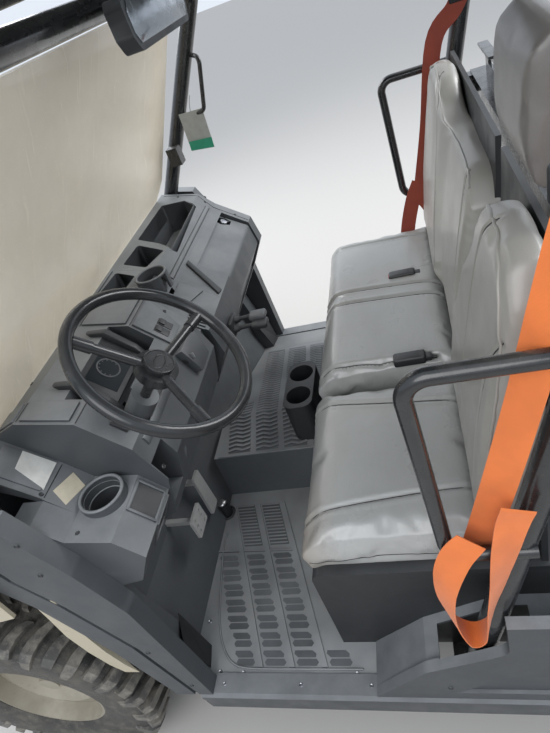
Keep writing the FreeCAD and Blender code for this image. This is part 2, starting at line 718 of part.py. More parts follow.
def make_floor():
    """Floor pan with a raised middle, slanted bands, and the front wall."""
    thick, z, hump = v("panel"), v("floor_z"), v("hump_z")
    x1, front, rear = v("sill_inner_x") - v("running_gap"), v("floor_front_y"), v("floor_rear_y")
    made = body("floor")
    top = [(-x1, z), (-622, z), (-50, hump), (140, hump), (150, z), (x1, z)]
    bottom = [(x1, z - thick), (150 - thick, z - thick), (140 - thick, hump - thick), (-50, hump - thick),
              (-622, z - thick), (-x1, z - thick)]
    pad(made, "y", top + bottom, front, rear)
    seat_side = v("seat_base_half") + v("running_gap")
    for x0, x1_strip in ((seat_side, x1), (-x1, -seat_side)):
        pad(made, "y", [(x0, z), (x1_strip, z), (x1_strip, z - thick), (x0, z - thick)], rear, -119)
    # the covers stand behind the front pillars, which lean forward by this much over the covers' height
    lean = 137
    cover = [(-560, z), (-560 - lean, 1000), (-566 - lean, 1000), (-566, z)]
    step = v("wall_set_back")
    # the return walls end where the covers reach the front wall
    meet = z + (1000 - z) * (step - 560 - front) / lean
    return_wall = [(-560, z), (front - step, meet), (front - step, 600), (front, z)]
    for side in (1, -1):
        edges = sorted((side * (v("sill_inner_x") - 62), side * x1))
        pad(made, "x", cover, *edges)
        edges = sorted((side * (v("sill_inner_x") - 62), side * (v("sill_inner_x") - 68)))
        pad(made, "x", return_wall, *edges)
    wall = [(front, z - thick), (front, z), (front - step, 600), (front - step, 1000), (front - step - 6, 1000),
            (front - step - 6, 598), (front - 7, z - thick)]
    pad(made, "x", wall, 60 - x1, x1 - 60)
    for side in (-1, 1):
        notch = [(side * 655, -625), (side * 720, -625), (side * 720, -565), (side * 655, -565)]
        pocket(made, "z", notch, z - 80, z + 120)
    # three low bands run across the driver's side and slant to the rear towards the sill
    band = pad(made, "z", [(200, -590), (700, -419), (700, -404), (200, -575)], z - 1, z + 3)
    along(made, band, "Y_Axis", 168, 3)
    node(made, "floor")
    # twin cup holders on the floor, before the seat's middle
    cups = body("floor_cups")
    pad(cups, "z", [(-105, -330, 30), (105, -330, 30), (105, -240, 30), (-105, -240, 30)], hump + 0.3, 690)
    for x in (-50, 50):
        pocket(cups, "z", (x, -285, 38), hump + 12, 700)
    node(cups, "floor_cups")
    outer, inner, low = v("sill_outer_x"), v("sill_inner_x"), v("sill_bottom")
    sill = plate("sill", "y", [(inner, z + 4), (outer - 8, z + 4), (outer, z - 6), (outer - 6, low), (inner, low),
                               (inner, low + 4), (outer - 14, low + 4), (outer - 8, z - 8), (inner, z - 4)], -560, 545)
    node(pair(sill), "sills")


def make_side_walls():
    x0, x1 = v("wall_inner_x"), v("wall_outer_x")
    z = v("floor_z") + 4 + v("running_gap")
    outline = [(-525, z), (-545, 800, 60), (-590, 950, 60), (-660, 1110), (-740, 1130), (-800, 1010), (-797, 908),
               (-752, 838, 60), (-677, 621, 80), (-625, z)]
    side = plate("cladding", "x", outline, x0, x1)
    groove = [(-574, z - 5), (-618, 640), (-690, 838), (-745, 940), (-770, 1040), (-758, 1040), (-733, 938),
              (-678, 836), (-606, 640), (-562, z - 5)]
    pocket(side, "x", groove, x1 - 8, x1 + 5)
    node(pair(side), "side_cladding")
    skin = v("rear_panel_x")
    rear = plate("rear_panel", "x", [(-118, z), (10, 515, 60), (100, 560, 40), (176, 600, 30), (176, 700),
                                     (545, 700), (560, 600), (545, z)], skin, skin + 24)
    pocket(rear, "x", [(60, z + 30), (180, 500, 30), (520, 500, 30), (520, z + 30, 30)], skin + 16, skin + 30)
    inside = v("seat_base_half") + v("running_gap")
    pad(rear, "x", [(-118, z), (10, 500), (100, 548), (176, 588), (545, 588), (545, 582), (176, 582), (100, 541),
                    (12, 493), (-104, z)], inside, skin)
    pocket(rear, "z", [(663, 40), (743, 40), (743, 226), (663, 226)], z - 10, 640)
    node(pair(rear), "rear_panels")
    cap = body("fuel_cap")
    pad(cap, "x", (290, 545, v("cap_radius")), skin + 24, skin + 42)
    node(cap, "fuel_cap")


def make_front_body():
    thick = v("hood_thick")
    sections = []
    # place along the vehicle, height of the edge, half width, rise of the crown
    for y, z, half, crown in ((-1436, 862, 380, 22), (-1390, 900, 392, 26), (-1100, 990, 470, 32), (-800, 1070, 560, 30)):
        over = [(-half, z), (-half * 0.7, z + crown), (half * 0.7, z + crown), (half, z)]
        under = [(x, h - thick) for x, h in reversed(over)]
        sections.append([(x, y, h) for x, h in over + under])
    hood = ruled(sections)
    pin_y, pin_z, pin = v("hood_hinge_y"), v("hood_hinge_z"), v("small_pin")
    lugs = []
    for x in (-230, 210):
        lugs.append(box(x, x + 20, pin_y - 10, pin_y + 10, pin_z, pin_z + 56))
        lugs.append(rod((x, pin_y, pin_z), (x + 20, pin_y, pin_z), 10))
    bore = rod((-240, pin_y, pin_z), (240, pin_y, pin_z), pin + v("running_gap"))
    feature("hood", fused([hood] + lugs).cut(bore))

    fascia = plate("fascia", "x", [(-1425, 520), (-1466, 700, 40), (-1454, 838), (-1448, 837), (-1459, 700, 40),
                                   (-1418, 520)], -398, 398)
    slot = pocket(fascia, "y", [(-v("grille_half"), 560), (v("grille_half"), 560), (v("grille_half") - 20, 588),
                                (20 - v("grille_half"), 588)], -1520, -1400)
    along(fascia, slot, "Z_Axis", (v("slat_count") - 1) * v("slat_pitch"), v("slat_count"))
    back = v("rail_front_y") - v("running_gap")
    pad(fascia, "x", [(-1455, 790), (-1455, 798), (back, 798), (back, 790)], -200, 200)
    node(fascia, "front_fascia")
    lamp = plate("lamp", "y", [(398.3, 706, 10), (590, 726, 20), (600, 790, 20), (398.3, 800, 10)], -1462, -1390)
    node(pair(lamp), "headlamps")
    sections = []
    # place along the vehicle, height, inner edge
    for y, z, inner in ((-1476, 820, 404), (-1440, 872, 404), (-1100, 975, 496), (-800.3, 1062, 572)):
        skin = [(inner, 0), (700, -10), (765, -45), (785, -110), (785, -230)]
        back = [(777, -230), (777, -112), (758, -52), (697, -18), (inner, -8)]
        sections.append([(x, y, z + dz) for x, dz in skin + back])
    arch = Part.makeCylinder(480, 400, vec(500, v("front_axle_y"), v("tyre_radius")), vec(1, 0, 0))
    fender = ruled(sections).cut(arch)
    feature("front_fenders", both(fender))
    y, r = v("bumper_y"), v("bumper_tube")
    parts = [cylinder("x", (-360, y, 440), 720, r), cylinder("x", (-330, y, 620), 660, r)]
    for side in (-1, 1):
        parts.append(block(side * 255 - 20, side * 255 + 20, y, v("rail_front_y"), 425, 455))
        parts.append(block(side * 255 - 20, side * 255 + 20, v("rail_front_y") - 30, v("rail_front_y"), 290, 455))
        parts.append(cylinder("z", (side * 290, y, 440), 180, 20))
    node(fuse(*parts), "front_bumper")


def make_dash():
    """Moulded dash in three parts: the bins and glovebox, the middle with its cup holder, and the instruments."""
    half, top, front = v("dash_half"), v("dash_top"), v("dash_front_y")
    first_split, split = -106, 105
    face_y = v("floor_front_y") - v("wall_set_back") + v("running_gap")
    deep = v("bin_floor_z")
    profile = [(front, top), (-615, top - 32), (-566, 1066), (-455, 985), (-440, 900), (-500, 800),
               (-560, 780), (face_y, 820), (face_y, 1040), (front, top - 40)]
    centre = body("dash_centre")
    pad(centre, "x", profile, first_split + v("running_gap"), split)
    pad(centre, "z", (-40, -596, v("cup_radius") + v("cup_wall")), 1090, 1138)
    pocket(centre, "z", [(-92, -728, 8), (66, -738, 8), (88, -676, 8), (-74, -664, 8)], deep + 60, 1200)
    pocket(centre, "z", (-40, -596, v("cup_radius")), deep, 1200)
    pocket(centre, "z", [(-34, -575), (-34, -545), (-14, -545), (-14, -575)], deep + 25, 1200)
    # the step under the middle, with a slot for the switches
    pocket(centre, "x", [(-470, 1010), (-400, 1010), (-400, 800), (-520, 780), (-488, 850)], 62, split + 1)
    node(centre, "dash_centre")
    right = body("dash_passenger")
    pad(right, "x", profile, -half, first_split)
    # the open bins in the top: corners in x and y, and the floor of each
    for corners, floor_z in (([(-300, -728), (-556, -724), (-596, -652), (-562, -604), (-236, -592), (-272, -650)], deep),
                             ([(-262, -716), (-140, -722), (-122, -646), (-226, -622)], deep + 25)):
        pocket(right, "z", [(x, y, 8) for x, y in corners], floor_z, 1200)
    recess = [(-600, 1020), (-578, 1062), (-400, 990), (-400, 880), (-500, 812), (-600, 830)]
    pocket(right, "x", recess, -604, -226)
    hinge = (-494, 840, v("small_pin") - 1)
    pocket(right, "x", (-494, 840, v("small_pin") - 1 + v("running_gap")), -612, -218)
    node(right, "dash_passenger")
    lid = body("glovebox_lid")
    pad(lid, "x", [(-565, 1046), (-458, 977, 20), (-446, 901, 20), (-489, 835), (-499, 841), (-458, 903, 12),
                   (-469, 971, 12), (-571, 1037)], -598, -232)
    pad(lid, "x", hinge, -611, -219)
    # the latch's six-sided recess and the grip bar under it
    pocket(lid, "z", [(-585, -560), (-560, -560), (-545, -535), (-560, -510), (-585, -510), (-597, -535)], 1000, 1060)
    pad(lid, "x", [(-500, 1004), (-462, 978), (-449, 905), (-455, 903), (-500, 960)], -262, -240)
    node(lid, "glovebox_lid")

    left = body("dash_driver")
    pad(left, "x", [(front, top), (-690, top + 24), (-560, top), (-474, 1060), (-440, 960), (-470, 850),
                    (-560, 800), (face_y, 820), (face_y, 1040), (front, top - 40)], split, 560)
    pad(left, "x", [(front, top - 10), (-650, 1050), (-600, 996), (-500, 985), (-452, 930), (-500, 850),
                    (-620, 820), (face_y, 840), (face_y, 1040), (front, top - 50)], 560, half)
    pad(left, "x", [(-700, 1046), (-650, 1046), (-600, 996), (-500, 985), (-452, 930), (-500, 850), (-590, 825),
                    (-640, 825)], half, v("wall_inner_x") - v("running_gap"))
    rim_x, rim_y, rim_top = v("left_cup_x"), v("left_cup_y"), v("left_cup_top")
    pad(left, "z", (rim_x, rim_y, v("cup_radius") + v("cup_wall") + 2), 880, rim_top)
    pocket(left, "z", (rim_x, rim_y, v("cup_radius") + 2), 896, rim_top + 60)
    pocket(left, "z", [(486, -530, 8), (556, -530, 8), (556, -400), (486, -400)], 880, 1010)
    # the instruments lie in a recess under a lip, and face the driver
    pocket(left, "x", [(-618, 1210), (-604, 1120), (-520, 1040), (-500, 1210)], 232, 488)
    tilt = math.radians(float(v("column_tilt")))

    def beside_column(distance, side):
        """A point (y, z) at a distance down the column and to one side of it."""
        return (v("steer_y") - distance * math.sin(tilt) + side * math.cos(tilt),
                v("steer_z") - distance * math.cos(tilt) - side * math.sin(tilt))

    end, clear = v("column_near") + v("column_length") + v("running_gap"), v("column_radius") + 8
    tunnel = [beside_column(90, -clear), beside_column(end, -clear), beside_column(end, clear), beside_column(90, clear)]
    pocket(left, "x", tunnel, v("steer_x") - v("column_radius") - 8, v("steer_x") + v("column_radius") + 8)
    node(left, "dash_driver")


def make_seats():
    z0, deck, half, wall = v("outrigger_top"), v("seat_deck_z"), v("seat_base_half"), v("panel") + 2
    front = v("cushion_front_y") + 20
    base = plate("seat_base", "x", [(front, z0), (330, z0), (330, deck, 20), (front, deck, 20)], -half, half)
    pocket(base, "y", [(wall - half, z0 - 1), (half - wall, z0 - 1), (half - wall, deck - wall, 12),
                       (wall - half, deck - wall, 12)], front + wall, 330 - wall)
    node(base, "seat_base")
    top, y0, y1 = v("cushion_top"), v("cushion_front_y"), v("cushion_rear_y")
    gap = v("running_gap")
    inner, middle, outer = v("driver_inner_x"), v("middle_inner_x"), v("seat_outer_x")

    def cushion(name, x0, x1):
        return plate(name, "x", [(y0 + 10, deck + gap, 12), (y0, top - 40, 34), (y0 + 40, top, 30), (y1, top, 24),
                                 (y1, deck + gap)], x0, x1)
    node(cushion("cushion_driver", inner, outer), "cushion_driver")
    node(cushion("cushion_passenger", -outer, middle), "cushion_passenger")

    def back(name, x0, x1):
        return plate(name, "x", [(150, top + 8, 12), (176, 1010, 300), (236, v("back_top"), 26), (306, v("back_top"), 26),
                                 (300, 1250), (262, 900), (256, top + 8)], x0, x1)
    node(back("back_driver", inner, outer), "back_driver")
    node(back("back_passenger", -outer, middle), "back_passenger")
    shell = [(262.4, deck + gap), (262.4, 900), (300.4, 1250), (304.8, 1330), (316, 1330), (312, 1250), (274, 900),
             (274, deck + gap)]
    node(group(plate("shell_driver", "x", shell, inner + 15, outer - 15),
               plate("shell_passenger", "x", shell, 15 - outer, middle - 15)), "back_shells")
    x, wide = v("headrest_x"), v("headrest_half")
    node(plate("headrest", "x", [(290, 1385, 20), (276, 1450, 40), (284, 1560, 30), (320, 1590, 20), (352, 1585, 20),
                                 (385, 1540, 30), (385, 1420, 20), (374, 1385, 10)], x - wide, x + wide), "headrest")
    node(block(x - 25, x + 25, v("cross_rail_y") + 2, v("cross_rail_y") + 9, v("cross_rail_z") + 60 + gap, 1385 - gap),
         "headrest_stay")


def make_trim():
    strap = [(348, 1500), (392, 1500), (288, 1360), (194, 925), (212, 760), (204, 690), (160, 606, 20), (104, 606, 20),
             (76, 690), (84, 800), (146, 935), (240, 1360)]
    right = plate("strap", "x", strap, -666.2, -662.2)
    pocket(right, "x", [(122, 790, 10), (114, 700, 10), (126, 646, 10), (150, 646, 10), (164, 700, 10), (170, 780, 10)],
           -668, -660)
    node(right, "belt_passenger")
    inside, outside = v("hip_x") - v("hip_tube") - v("running_gap"), v("hip_x") + v("hip_tube") + v("running_gap")
    strap = plate("strap", "x", [(272, 1500), (318, 1500), (292, 1390), (246, 1200), (196, 935), (146, 935), (206, 1200),
                                 (246, 1390)], inside - 4, inside)
    loop = plate("loop", "x", [(140, 930), (84, 870), (62, 770), (80, 640, 20), (128, 608, 20), (168, 700), (198, 820),
                               (196, 910)], outside, outside + 4)
    pocket(loop, "x", [(140, 870, 10), (116, 830, 10), (106, 760, 10), (118, 680, 10), (140, 672, 10), (156, 730, 10),
                       (160, 850, 10)], outside - 1, outside + 5)
    node(group(strap, loop), "belt_driver")
    z = v("cushion_top") + v("running_gap")
    buckles = []
    for x in (96, -320):
        one = plate("buckle", "x", [(20, z), (20, z + 20), (30, z + 26, 4), (118, z + 26, 10), (130, z)], x, x + 34)
        buckles.append(one)
    node(group(*buckles), "buckles")
    glass = plate("glass", "y", [(-185, 1690, 14), (-165, 1662, 20), (165, 1662, 20), (185, 1690, 14),
                                 (185, 1750, 20), (-185, 1750, 20)], -310, -275)
    hold = block(-20, 20, v("header_y") + v("cab_tube") + v("running_gap"), -300, 1722, 1745)
    node(fuse(glass, hold), "mirror")
    brake = plate("brake", "y", [(380, 580, 6), (450, 580, 6), (450, 650, 6), (380, 650, 6)], -560, -552)
    hole = pocket(brake, "y", (397, 594, 5), -570, -540)
    along(brake, hole, "X_Axis", 36, 2)
    for z in (615, 636):
        extra = pocket(brake, "y", (397, z, 5), -570, -540)
        along(brake, extra, "X_Axis", 36, 2)
    lever = block(408, 422, -654.7, -559, 606, 620)
    throttle = plate("throttle", "y", [(248, 480, 8), (300, 480, 8), (296, 640, 8), (252, 640, 8)], -600, -592)
    link = block(267, 281, -654.7, -599, 600, 614)
    node(group(fuse(brake, lever), fuse(throttle, link)), "pedals")
    foot = block(-92, -28, -439.7, -428, 884, 932)
    stick = cylinder("y", (-60, -430, 908), 70, 8)
    knob = cylinder("y", (-60, -368, 908), 44, 19)
    node(fuse(knob, stick, foot), "shifter")
    low = v("rail_bottom") + v("rail_tube") + v("running_gap")
    node(block(-220, 220, 455, 775, low, 660), "engine")


def make_bed():
    half, wall = v("bed_half"), v("bed_wall")
    y0, y1 = v("bed_front_y"), v("bed_rear_y")
    floor_z, top, skirt = v("bed_floor_z"), v("bed_top"), v("bed_skirt_z")
    under = floor_z - wall
    gap = v("swing_gap")
    tub = plate("bed", "y", [(-half, skirt), (half, skirt), (half, top, 8), (-half, top, 8)], y0, y1)
    pocket(tub, "y", [(wall - half, floor_z), (half - wall, floor_z), (half - wall, top + 10),
                      (wall - half, top + 10)], y0 + wall, y1 + 10)
    pocket(tub, "y", [(wall - half, skirt - 10), (half - wall, skirt - 10), (half - wall, under),
                      (wall - half, under)], y0 + wall, y1 + 10)
    rib = pad(tub, "x", [(y0 + 90, top - 200), (y0 + 90, top - 60), (y0 + 140, top - 60), (y0 + 140, top - 200)],
              half, half + 10)
    along(tub, rib, "Y_Axis", 660, 4)
    hinge_y, hinge_z, ear_half = v("bed_hinge_y"), v("bed_hinge_z"), v("bracket_half")
    near = v("rail_x") + v("rail_tube") / 2 + v("bracket_gap")
    far = near + v("bracket_wall")
    ear = [(hinge_y - ear_half, under), (hinge_y - ear_half, hinge_z - ear_half, ear_half - 1),
           (hinge_y + ear_half, hinge_z - ear_half, ear_half - 1), (hinge_y + ear_half, under)]
    for x0, x1 in ((near, far), (-far, -near)):
        pad(tub, "x", ear, x0, x1)
        pocket(tub, "x", (hinge_y, hinge_z, v("hinge_pin") + v("running_gap")), x0 - 1, x1 + 1)
    # pins that the tailgate turns on
    pin_y, pin_z = y1 + 5 - v("tailgate_thick") / 2, floor_z + gap + v("tailgate_thick") / 2
    for x0, x1 in ((half - wall - gap - 14, half - wall), (wall - half, wall + gap + 14 - half)):
        pad(tub, "x", (pin_y, pin_z, 6), x0, x1)
    node(tub, "bed")
    thick = v("tailgate_thick")
    wide = half - wall - gap
    gate = plate("tailgate", "x", [(pin_y - thick / 2, pin_z - thick / 2, 14), (pin_y + thick / 2, pin_z - thick / 2, 14),
                                   (pin_y + thick / 2, top - 4, 6), (pin_y - thick / 2, top - 4, 6)], -wide, wide)
    panel = pocket(gate, "y", [(60 - wide, floor_z + 60, 12), (-60, floor_z + 60, 12), (-60, top - 60, 12),
                               (60 - wide, top - 60, 12)], pin_y + thick / 2 - 8, pin_y + thick / 2 + 1)
    twin(gate, panel)
    for x0, x1 in ((wide - 15, wide + 1), (-wide - 1, 15 - wide)):
        pocket(gate, "x", (pin_y, pin_z, 6.3), x0, x1)
    node(gate, "tailgate")
    lamp = plate("tail_lamp", "x", [(y1 + 0.3, 900), (y1 + 0.3, 1010), (y1 + 18, 1004, 6), (y1 + 18, 906, 6)],
                 half - 26, half - 2)
    node(pair(lamp), "tail_lamps")
    inner, shell, z = v("socket_half"), v("socket_half") + v("socket_wall"), v("socket_z")
    start, end = v("rail_rear_y"), v("rear_end_y")
    socket = plate("receiver", "y", [(-shell, z - shell), (shell, z - shell), (shell, z + shell),
                                     (-shell, z + shell)], start, end)
    pocket(socket, "y", [(-inner, z - inner), (inner, z - inner), (inner, z + inner), (-inner, z + inner)],
           start + 10, end + 1)
    pocket(socket, "x", (v("pin_y"), z, v("pin_hole")), -shell - 1, shell + 1)
    node(socket, "hitch_receiver")


make_wheels()
make_suspension()
make_steering()
make_frame()
make_cab_frame()
make_roof()
make_windshield()
make_floor()
make_side_walls()
make_front_body()
make_dash()
make_seats()
make_trim()
make_bed()

doc.recompute()
for obj in doc.Objects:
    if any(state in obj.State for state in ("Invalid", "Error")):
        raise RuntimeError(f"{obj.Name} failed: {obj.State}")
for obj in nodes:
    if obj.Shape.isNull() or not obj.Shape.isValid() or not obj.Shape.Solids:
        raise RuntimeError(f"{obj.Label} has no valid solid")
os.makedirs("parts", exist_ok=True)
for obj in nodes:
    obj.Shape.exportStep(f"parts/{obj.Label}.step")
print(len(nodes), "sub-parts")
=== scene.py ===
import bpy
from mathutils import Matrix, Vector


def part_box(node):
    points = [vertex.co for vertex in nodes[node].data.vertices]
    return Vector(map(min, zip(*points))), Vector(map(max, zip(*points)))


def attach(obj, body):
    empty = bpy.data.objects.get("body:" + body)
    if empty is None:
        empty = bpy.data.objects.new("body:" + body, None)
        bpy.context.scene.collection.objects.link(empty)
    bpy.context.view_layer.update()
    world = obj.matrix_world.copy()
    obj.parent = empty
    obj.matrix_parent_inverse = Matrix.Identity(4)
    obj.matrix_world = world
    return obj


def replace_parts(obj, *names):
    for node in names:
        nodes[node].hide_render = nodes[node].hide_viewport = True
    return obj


bl_info = {
    "name": "Side by side utility vehicle",
    "version": (1, 0, 0),
    "blender": (4, 5, 0),
    "location": "3D View > Sidebar > Utility Vehicle",
    "description": "Finishes and soft parts for the frame of an open three-seat utility vehicle",
    "category": "Object",
}

import math

import bmesh
import bpy
import numpy as np
from bpy.props import FloatProperty, FloatVectorProperty, PointerProperty
from mathutils import Matrix, Vector

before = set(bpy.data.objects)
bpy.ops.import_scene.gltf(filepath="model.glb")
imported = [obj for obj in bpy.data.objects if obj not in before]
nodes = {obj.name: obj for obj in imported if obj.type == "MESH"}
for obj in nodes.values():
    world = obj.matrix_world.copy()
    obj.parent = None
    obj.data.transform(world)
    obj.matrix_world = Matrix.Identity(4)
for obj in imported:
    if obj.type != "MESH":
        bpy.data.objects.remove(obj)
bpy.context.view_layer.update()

X, Y, Z = Vector((1, 0, 0)), Vector((0, 1, 0)), Vector((0, 0, 1))
FLOOR_TOP, HUMP_TOP = 0.38, 0.55
# how far a shape is sunk into what it stands on, so that no gap shows
SUNK = 0.001
# the dash's moulded faces from the windshield to the knees, as (y, z) corners
MIDDLE_DASH = ((-0.752, 1.15), (-0.615, 1.118), (-0.566, 1.066), (-0.455, 0.985), (-0.44, 0.9),
               (-0.5, 0.8))
DRIVER_DASH = ((-0.752, 1.15), (-0.69, 1.174), (-0.56, 1.15), (-0.474, 1.06), (-0.44, 0.96),
               (-0.47, 0.85))
LEFT_DASH = ((-0.752, 1.14), (-0.65, 1.05), (-0.6, 0.996), (-0.5, 0.985), (-0.452, 0.93),
             (-0.5, 0.85))
WHEEL_CENTRE, WHEEL_AXIS = Vector((0.448, -0.377, 1.194)), Vector((0, 0.680721, 0.732543))


# Finishes

def shade(colour, by):
    """A colour made darker or lighter."""
    return tuple(by * c for c in colour)


class Finish:
    """A material and the nodes that it shares with the other finishes."""

    def __init__(self, name):
        self.material = bpy.data.materials.new(name)
        self.material.use_nodes = True
        self.tree = self.material.node_tree
        self.shader = self.tree.nodes["Principled BSDF"]
        self.place = self.tree.nodes.new("ShaderNodeTexCoord").outputs["Object"]

    def plug(self, socket, value):
        """Links a socket to another, or gives it a constant."""
        if isinstance(value, bpy.types.NodeSocket):
            self.tree.links.new(value, socket)
        elif isinstance(value, tuple) and socket.type == "RGBA":
            socket.default_value = (*value, 1.0)
        else:
            socket.default_value = value

    def node(self, kind, links=(), **settings):
        made = self.tree.nodes.new("ShaderNode" + kind)
        for name, value in settings.items():
            setattr(made, name, value)
        for socket, value in dict(links).items():
            self.plug(made.inputs[socket], value)
        return made

    def noise(self, scale, detail=4.0, roughness=0.55, stretch=None):
        place = self.place
        if stretch:
            place = self.node("Mapping", {"Vector": place, "Scale": stretch}).outputs["Vector"]
        settings = {"Vector": place, "Scale": scale, "Detail": detail, "Roughness": roughness}
        return self.node("TexNoise", settings).outputs["Fac"]

    def between(self, value, low, high, start=0.0, end=1.0):
        limits = {"Value": value, "From Min": low, "From Max": high, "To Min": start, "To Max": end}
        return self.node("MapRange", limits).outputs["Result"]

    def patches(self, noise, low, high, start=0.0, end=1.0, stretch=None):
        """A noise of (scale, detail, roughness), whose low to high values run from start to end."""
        return self.between(self.noise(*noise, stretch=stretch), low, high, start, end)

    def times(self, one, other, operation="MULTIPLY"):
        return self.node("Math", {0: one, 1: other}, operation=operation).outputs["Value"]

    def mix(self, factor, one, other):
        return self.node("Mix", {0: factor, 6: one, 7: other}, data_type="RGBA").outputs[2]

    def mottled(self, colour, scale, detail, dark, light):
        """A colour that wanders between two shades of itself."""
        return self.mix(self.noise(scale, detail), shade(colour, dark), shade(colour, light))

    def stain(self, base, mask, share, colour):
        """A colour over the base where the mask lets it, up to a share."""
        return self.mix(self.times(mask, share), base, colour)

    def upward(self, low=0.2, high=0.95):
        """A mask for what faces up."""
        normal = self.node("NewGeometry").outputs["Normal"]
        height = self.node("SeparateXYZ", {"Vector": normal}).outputs["Z"]
        return self.between(height, low, high)

    def bump(self, height, strength, distance=0.001, below=None):
        links = {"Height": height, "Strength": strength, "Distance": distance}
        if below is not None:
            links["Normal"] = below
        return self.node("Bump", links).outputs["Normal"]

    def set(self, **values):
        for name, value in values.items():
            self.plug(self.shader.inputs[name.replace("_", " ")], value)
        return self.material


def moulded_plastic(name, colour, dust=0.78, grain=0.25, roughness=0.46):
    """Grained dark plastic, paler where it faces up with dust and painted light from above, with light
    scratches.
    """
    f = Finish(name)
    base = f.mottled(colour, 3.5, 5.0, 0.75, 1.3)
    # the pale film on upward faces is part dust and part painted light: the dust share and the cool grey
    # colour also paint the sheen that makes tops paler than sides
    dust_and_top_light = f.times(f.patches((7.0, 7.0, 0.62), 0.25, 0.75, 0.35, 1.0), f.upward(0.15, 0.9))
    base = f.stain(base, dust_and_top_light, dust, (0.36, 0.375, 0.385))
    scratch = f.patches((26.0, 2.0), 0.69, 0.73, stretch=(1.0, 0.06, 0.3))
    scratch = f.times(scratch, f.patches((5.0, 2.0), 0.45, 0.6))
    base = f.stain(base, scratch, 0.35, tuple(min(1.0, 3.2 * c + 0.05) for c in colour))
    rough = f.patches((14.0, 4.0), 0.3, 0.7, roughness - 0.08, roughness + 0.12)
    fine = f.bump(f.noise(900.0, 2.0), grain, 0.0003)
    return f.set(Base_Color=base, Roughness=rough, Normal=fine, Specular_IOR_Level=0.5)


def black_enamel(name, colour, worn=0.25, roughness=0.22):
    """Glossy paint on steel tube, chipped and dusty in places."""
    f = Finish(name)
    base = f.stain(colour, f.patches((30.0, 6.0), 0.35, 0.75), 0.4, tuple(2.2 * c + 0.01 for c in colour))
    base = f.stain(base, f.patches((60.0, 8.0, 0.7), 0.665, 0.69), worn, (0.42, 0.33, 0.22))
    dust = f.times(f.patches((7.0, 5.0), 0.5, 0.8), f.upward())
    base = f.stain(base, dust, 0.3, (0.33, 0.31, 0.27))
    rough = f.patches((24.0, 5.0), 0.3, 0.75, roughness - 0.06, roughness + 0.2)
    return f.set(Base_Color=base, Roughness=rough, Coat_Weight=0.5, Coat_Roughness=0.12,
                 Normal=f.bump(f.noise(160.0, 3.0), 0.12, 0.0006))


def grained_vinyl(name, colour, shine=0.3, worn=(0.24, 0.18, 0.12), wear=0.4, folds=0.25):
    """Soft seat vinyl with a leather grain, shallow creases and brown wear."""
    f = Finish(name)
    base = f.mottled(colour, 4.0, 5.0, 0.86, 1.12)
    base = f.stain(base, f.patches((2.4, 6.0, 0.62), 0.5, 0.78), wear, worn)
    # the driver's thigh rubs the front outer corner
    along = f.node("SeparateXYZ", {"Vector": f.place}).outputs
    rubbed = f.times(f.between(along["X"], 0.36, 0.6), f.between(along["Y"], -0.11, -0.215))
    base = f.stain(base, rubbed, 0.6, shade(worn, 1.15))
    base = f.stain(base, f.patches((75.0, 7.0, 0.7), 0.68, 0.72), 0.3, (0.4, 0.38, 0.33))
    grain = f.node("TexVoronoi", {"Vector": f.place, "Scale": 520.0}, feature="F1").outputs["Distance"]
    low = f.bump(f.noise(16.0, 5.0, 0.6, (1.0, 2.4, 1.0)), folds, 0.006)
    fine = f.bump(grain, 0.22, 0.0006, below=low)
    rough = f.patches((11.0, 6.0), 0.3, 0.7, shine - 0.07, shine + 0.13)
    return f.set(Base_Color=base, Roughness=rough, Normal=fine, Coat_Weight=0.45, Coat_Roughness=0.2)


def body_paint(name, colour):
    """Satin paint with road dust, specks of dirt and fine scratches."""
    f = Finish(name)
    base = f.mottled(colour, 2.2, 4.0, 0.9, 1.08)
    dust = f.times(f.patches((12.0, 7.0), 0.4, 0.75), f.upward(0.0, 0.9))
    base = f.stain(base, dust, 0.5, (0.6, 0.55, 0.45))
    scratch = f.patches((30.0, 2.0), 0.68, 0.71, stretch=(0.08, 1.0, 0.3))
    base = f.stain(base, scratch, 0.35, (0.24, 0.21, 0.17))
    base = f.stain(base, f.patches((45.0, 8.0, 0.7), 0.62, 0.7), 0.5, (0.2, 0.16, 0.11))
    rough = f.patches((15.0, 5.0), 0.3, 0.7, 0.34, 0.55)
    return f.set(Base_Color=base, Roughness=rough, Coat_Weight=0.15, Coat_Roughness=0.3,
                 Normal=f.bump(f.noise(300.0, 2.0), 0.08, 0.0004))


def dusty_rubber(name, colour, dust=0.8):
    """Tyre rubber with patches of dry mud and pale streaks."""
    f = Finish(name)
    mud = f.patches((20.0, 9.0, 0.7), 0.43, 0.62)
    base = f.stain(f.mottled(colour, 6.0, 5.0, 0.7, 1.5), mud, dust, (0.27, 0.25, 0.21))
    base = f.stain(base, f.patches((140.0, 5.0, 0.7), 0.6, 0.7), 0.35, (0.42, 0.39, 0.33))
    fine = f.bump(f.noise(240.0, 6.0, 0.7), 0.5, 0.0012)
    return f.set(Base_Color=base, Roughness=f.between(mud, 0.0, 1.0, 0.42, 0.85), Normal=fine)


def woven_webbing(name, colour, worn):
    """Belt webbing: close ribs along the strap, with darker handled patches."""
    f = Finish(name)
    rows, cords = (
        f.node("TexWave", {"Vector": f.place, "Scale": scale, "Distortion": bent, "Detail": 1.0},
               bands_direction=way).outputs["Fac"]
        for scale, bent, way in ((190.0, 0.3, "Z"), (320.0, 0.2, "Y")))
    base = f.stain(colour, f.patches((14.0, 5.0), 0.35, 0.75), 0.45, worn)
    base = f.stain(base, f.times(rows, cords), 0.25, shade(colour, 0.55))
    weave = f.bump(rows, 0.4, 0.0006, below=f.bump(cords, 0.35, 0.0007))
    return f.set(Base_Color=base, Roughness=0.62, Normal=weave, Sheen_Weight=0.25, Sheen_Roughness=0.45)


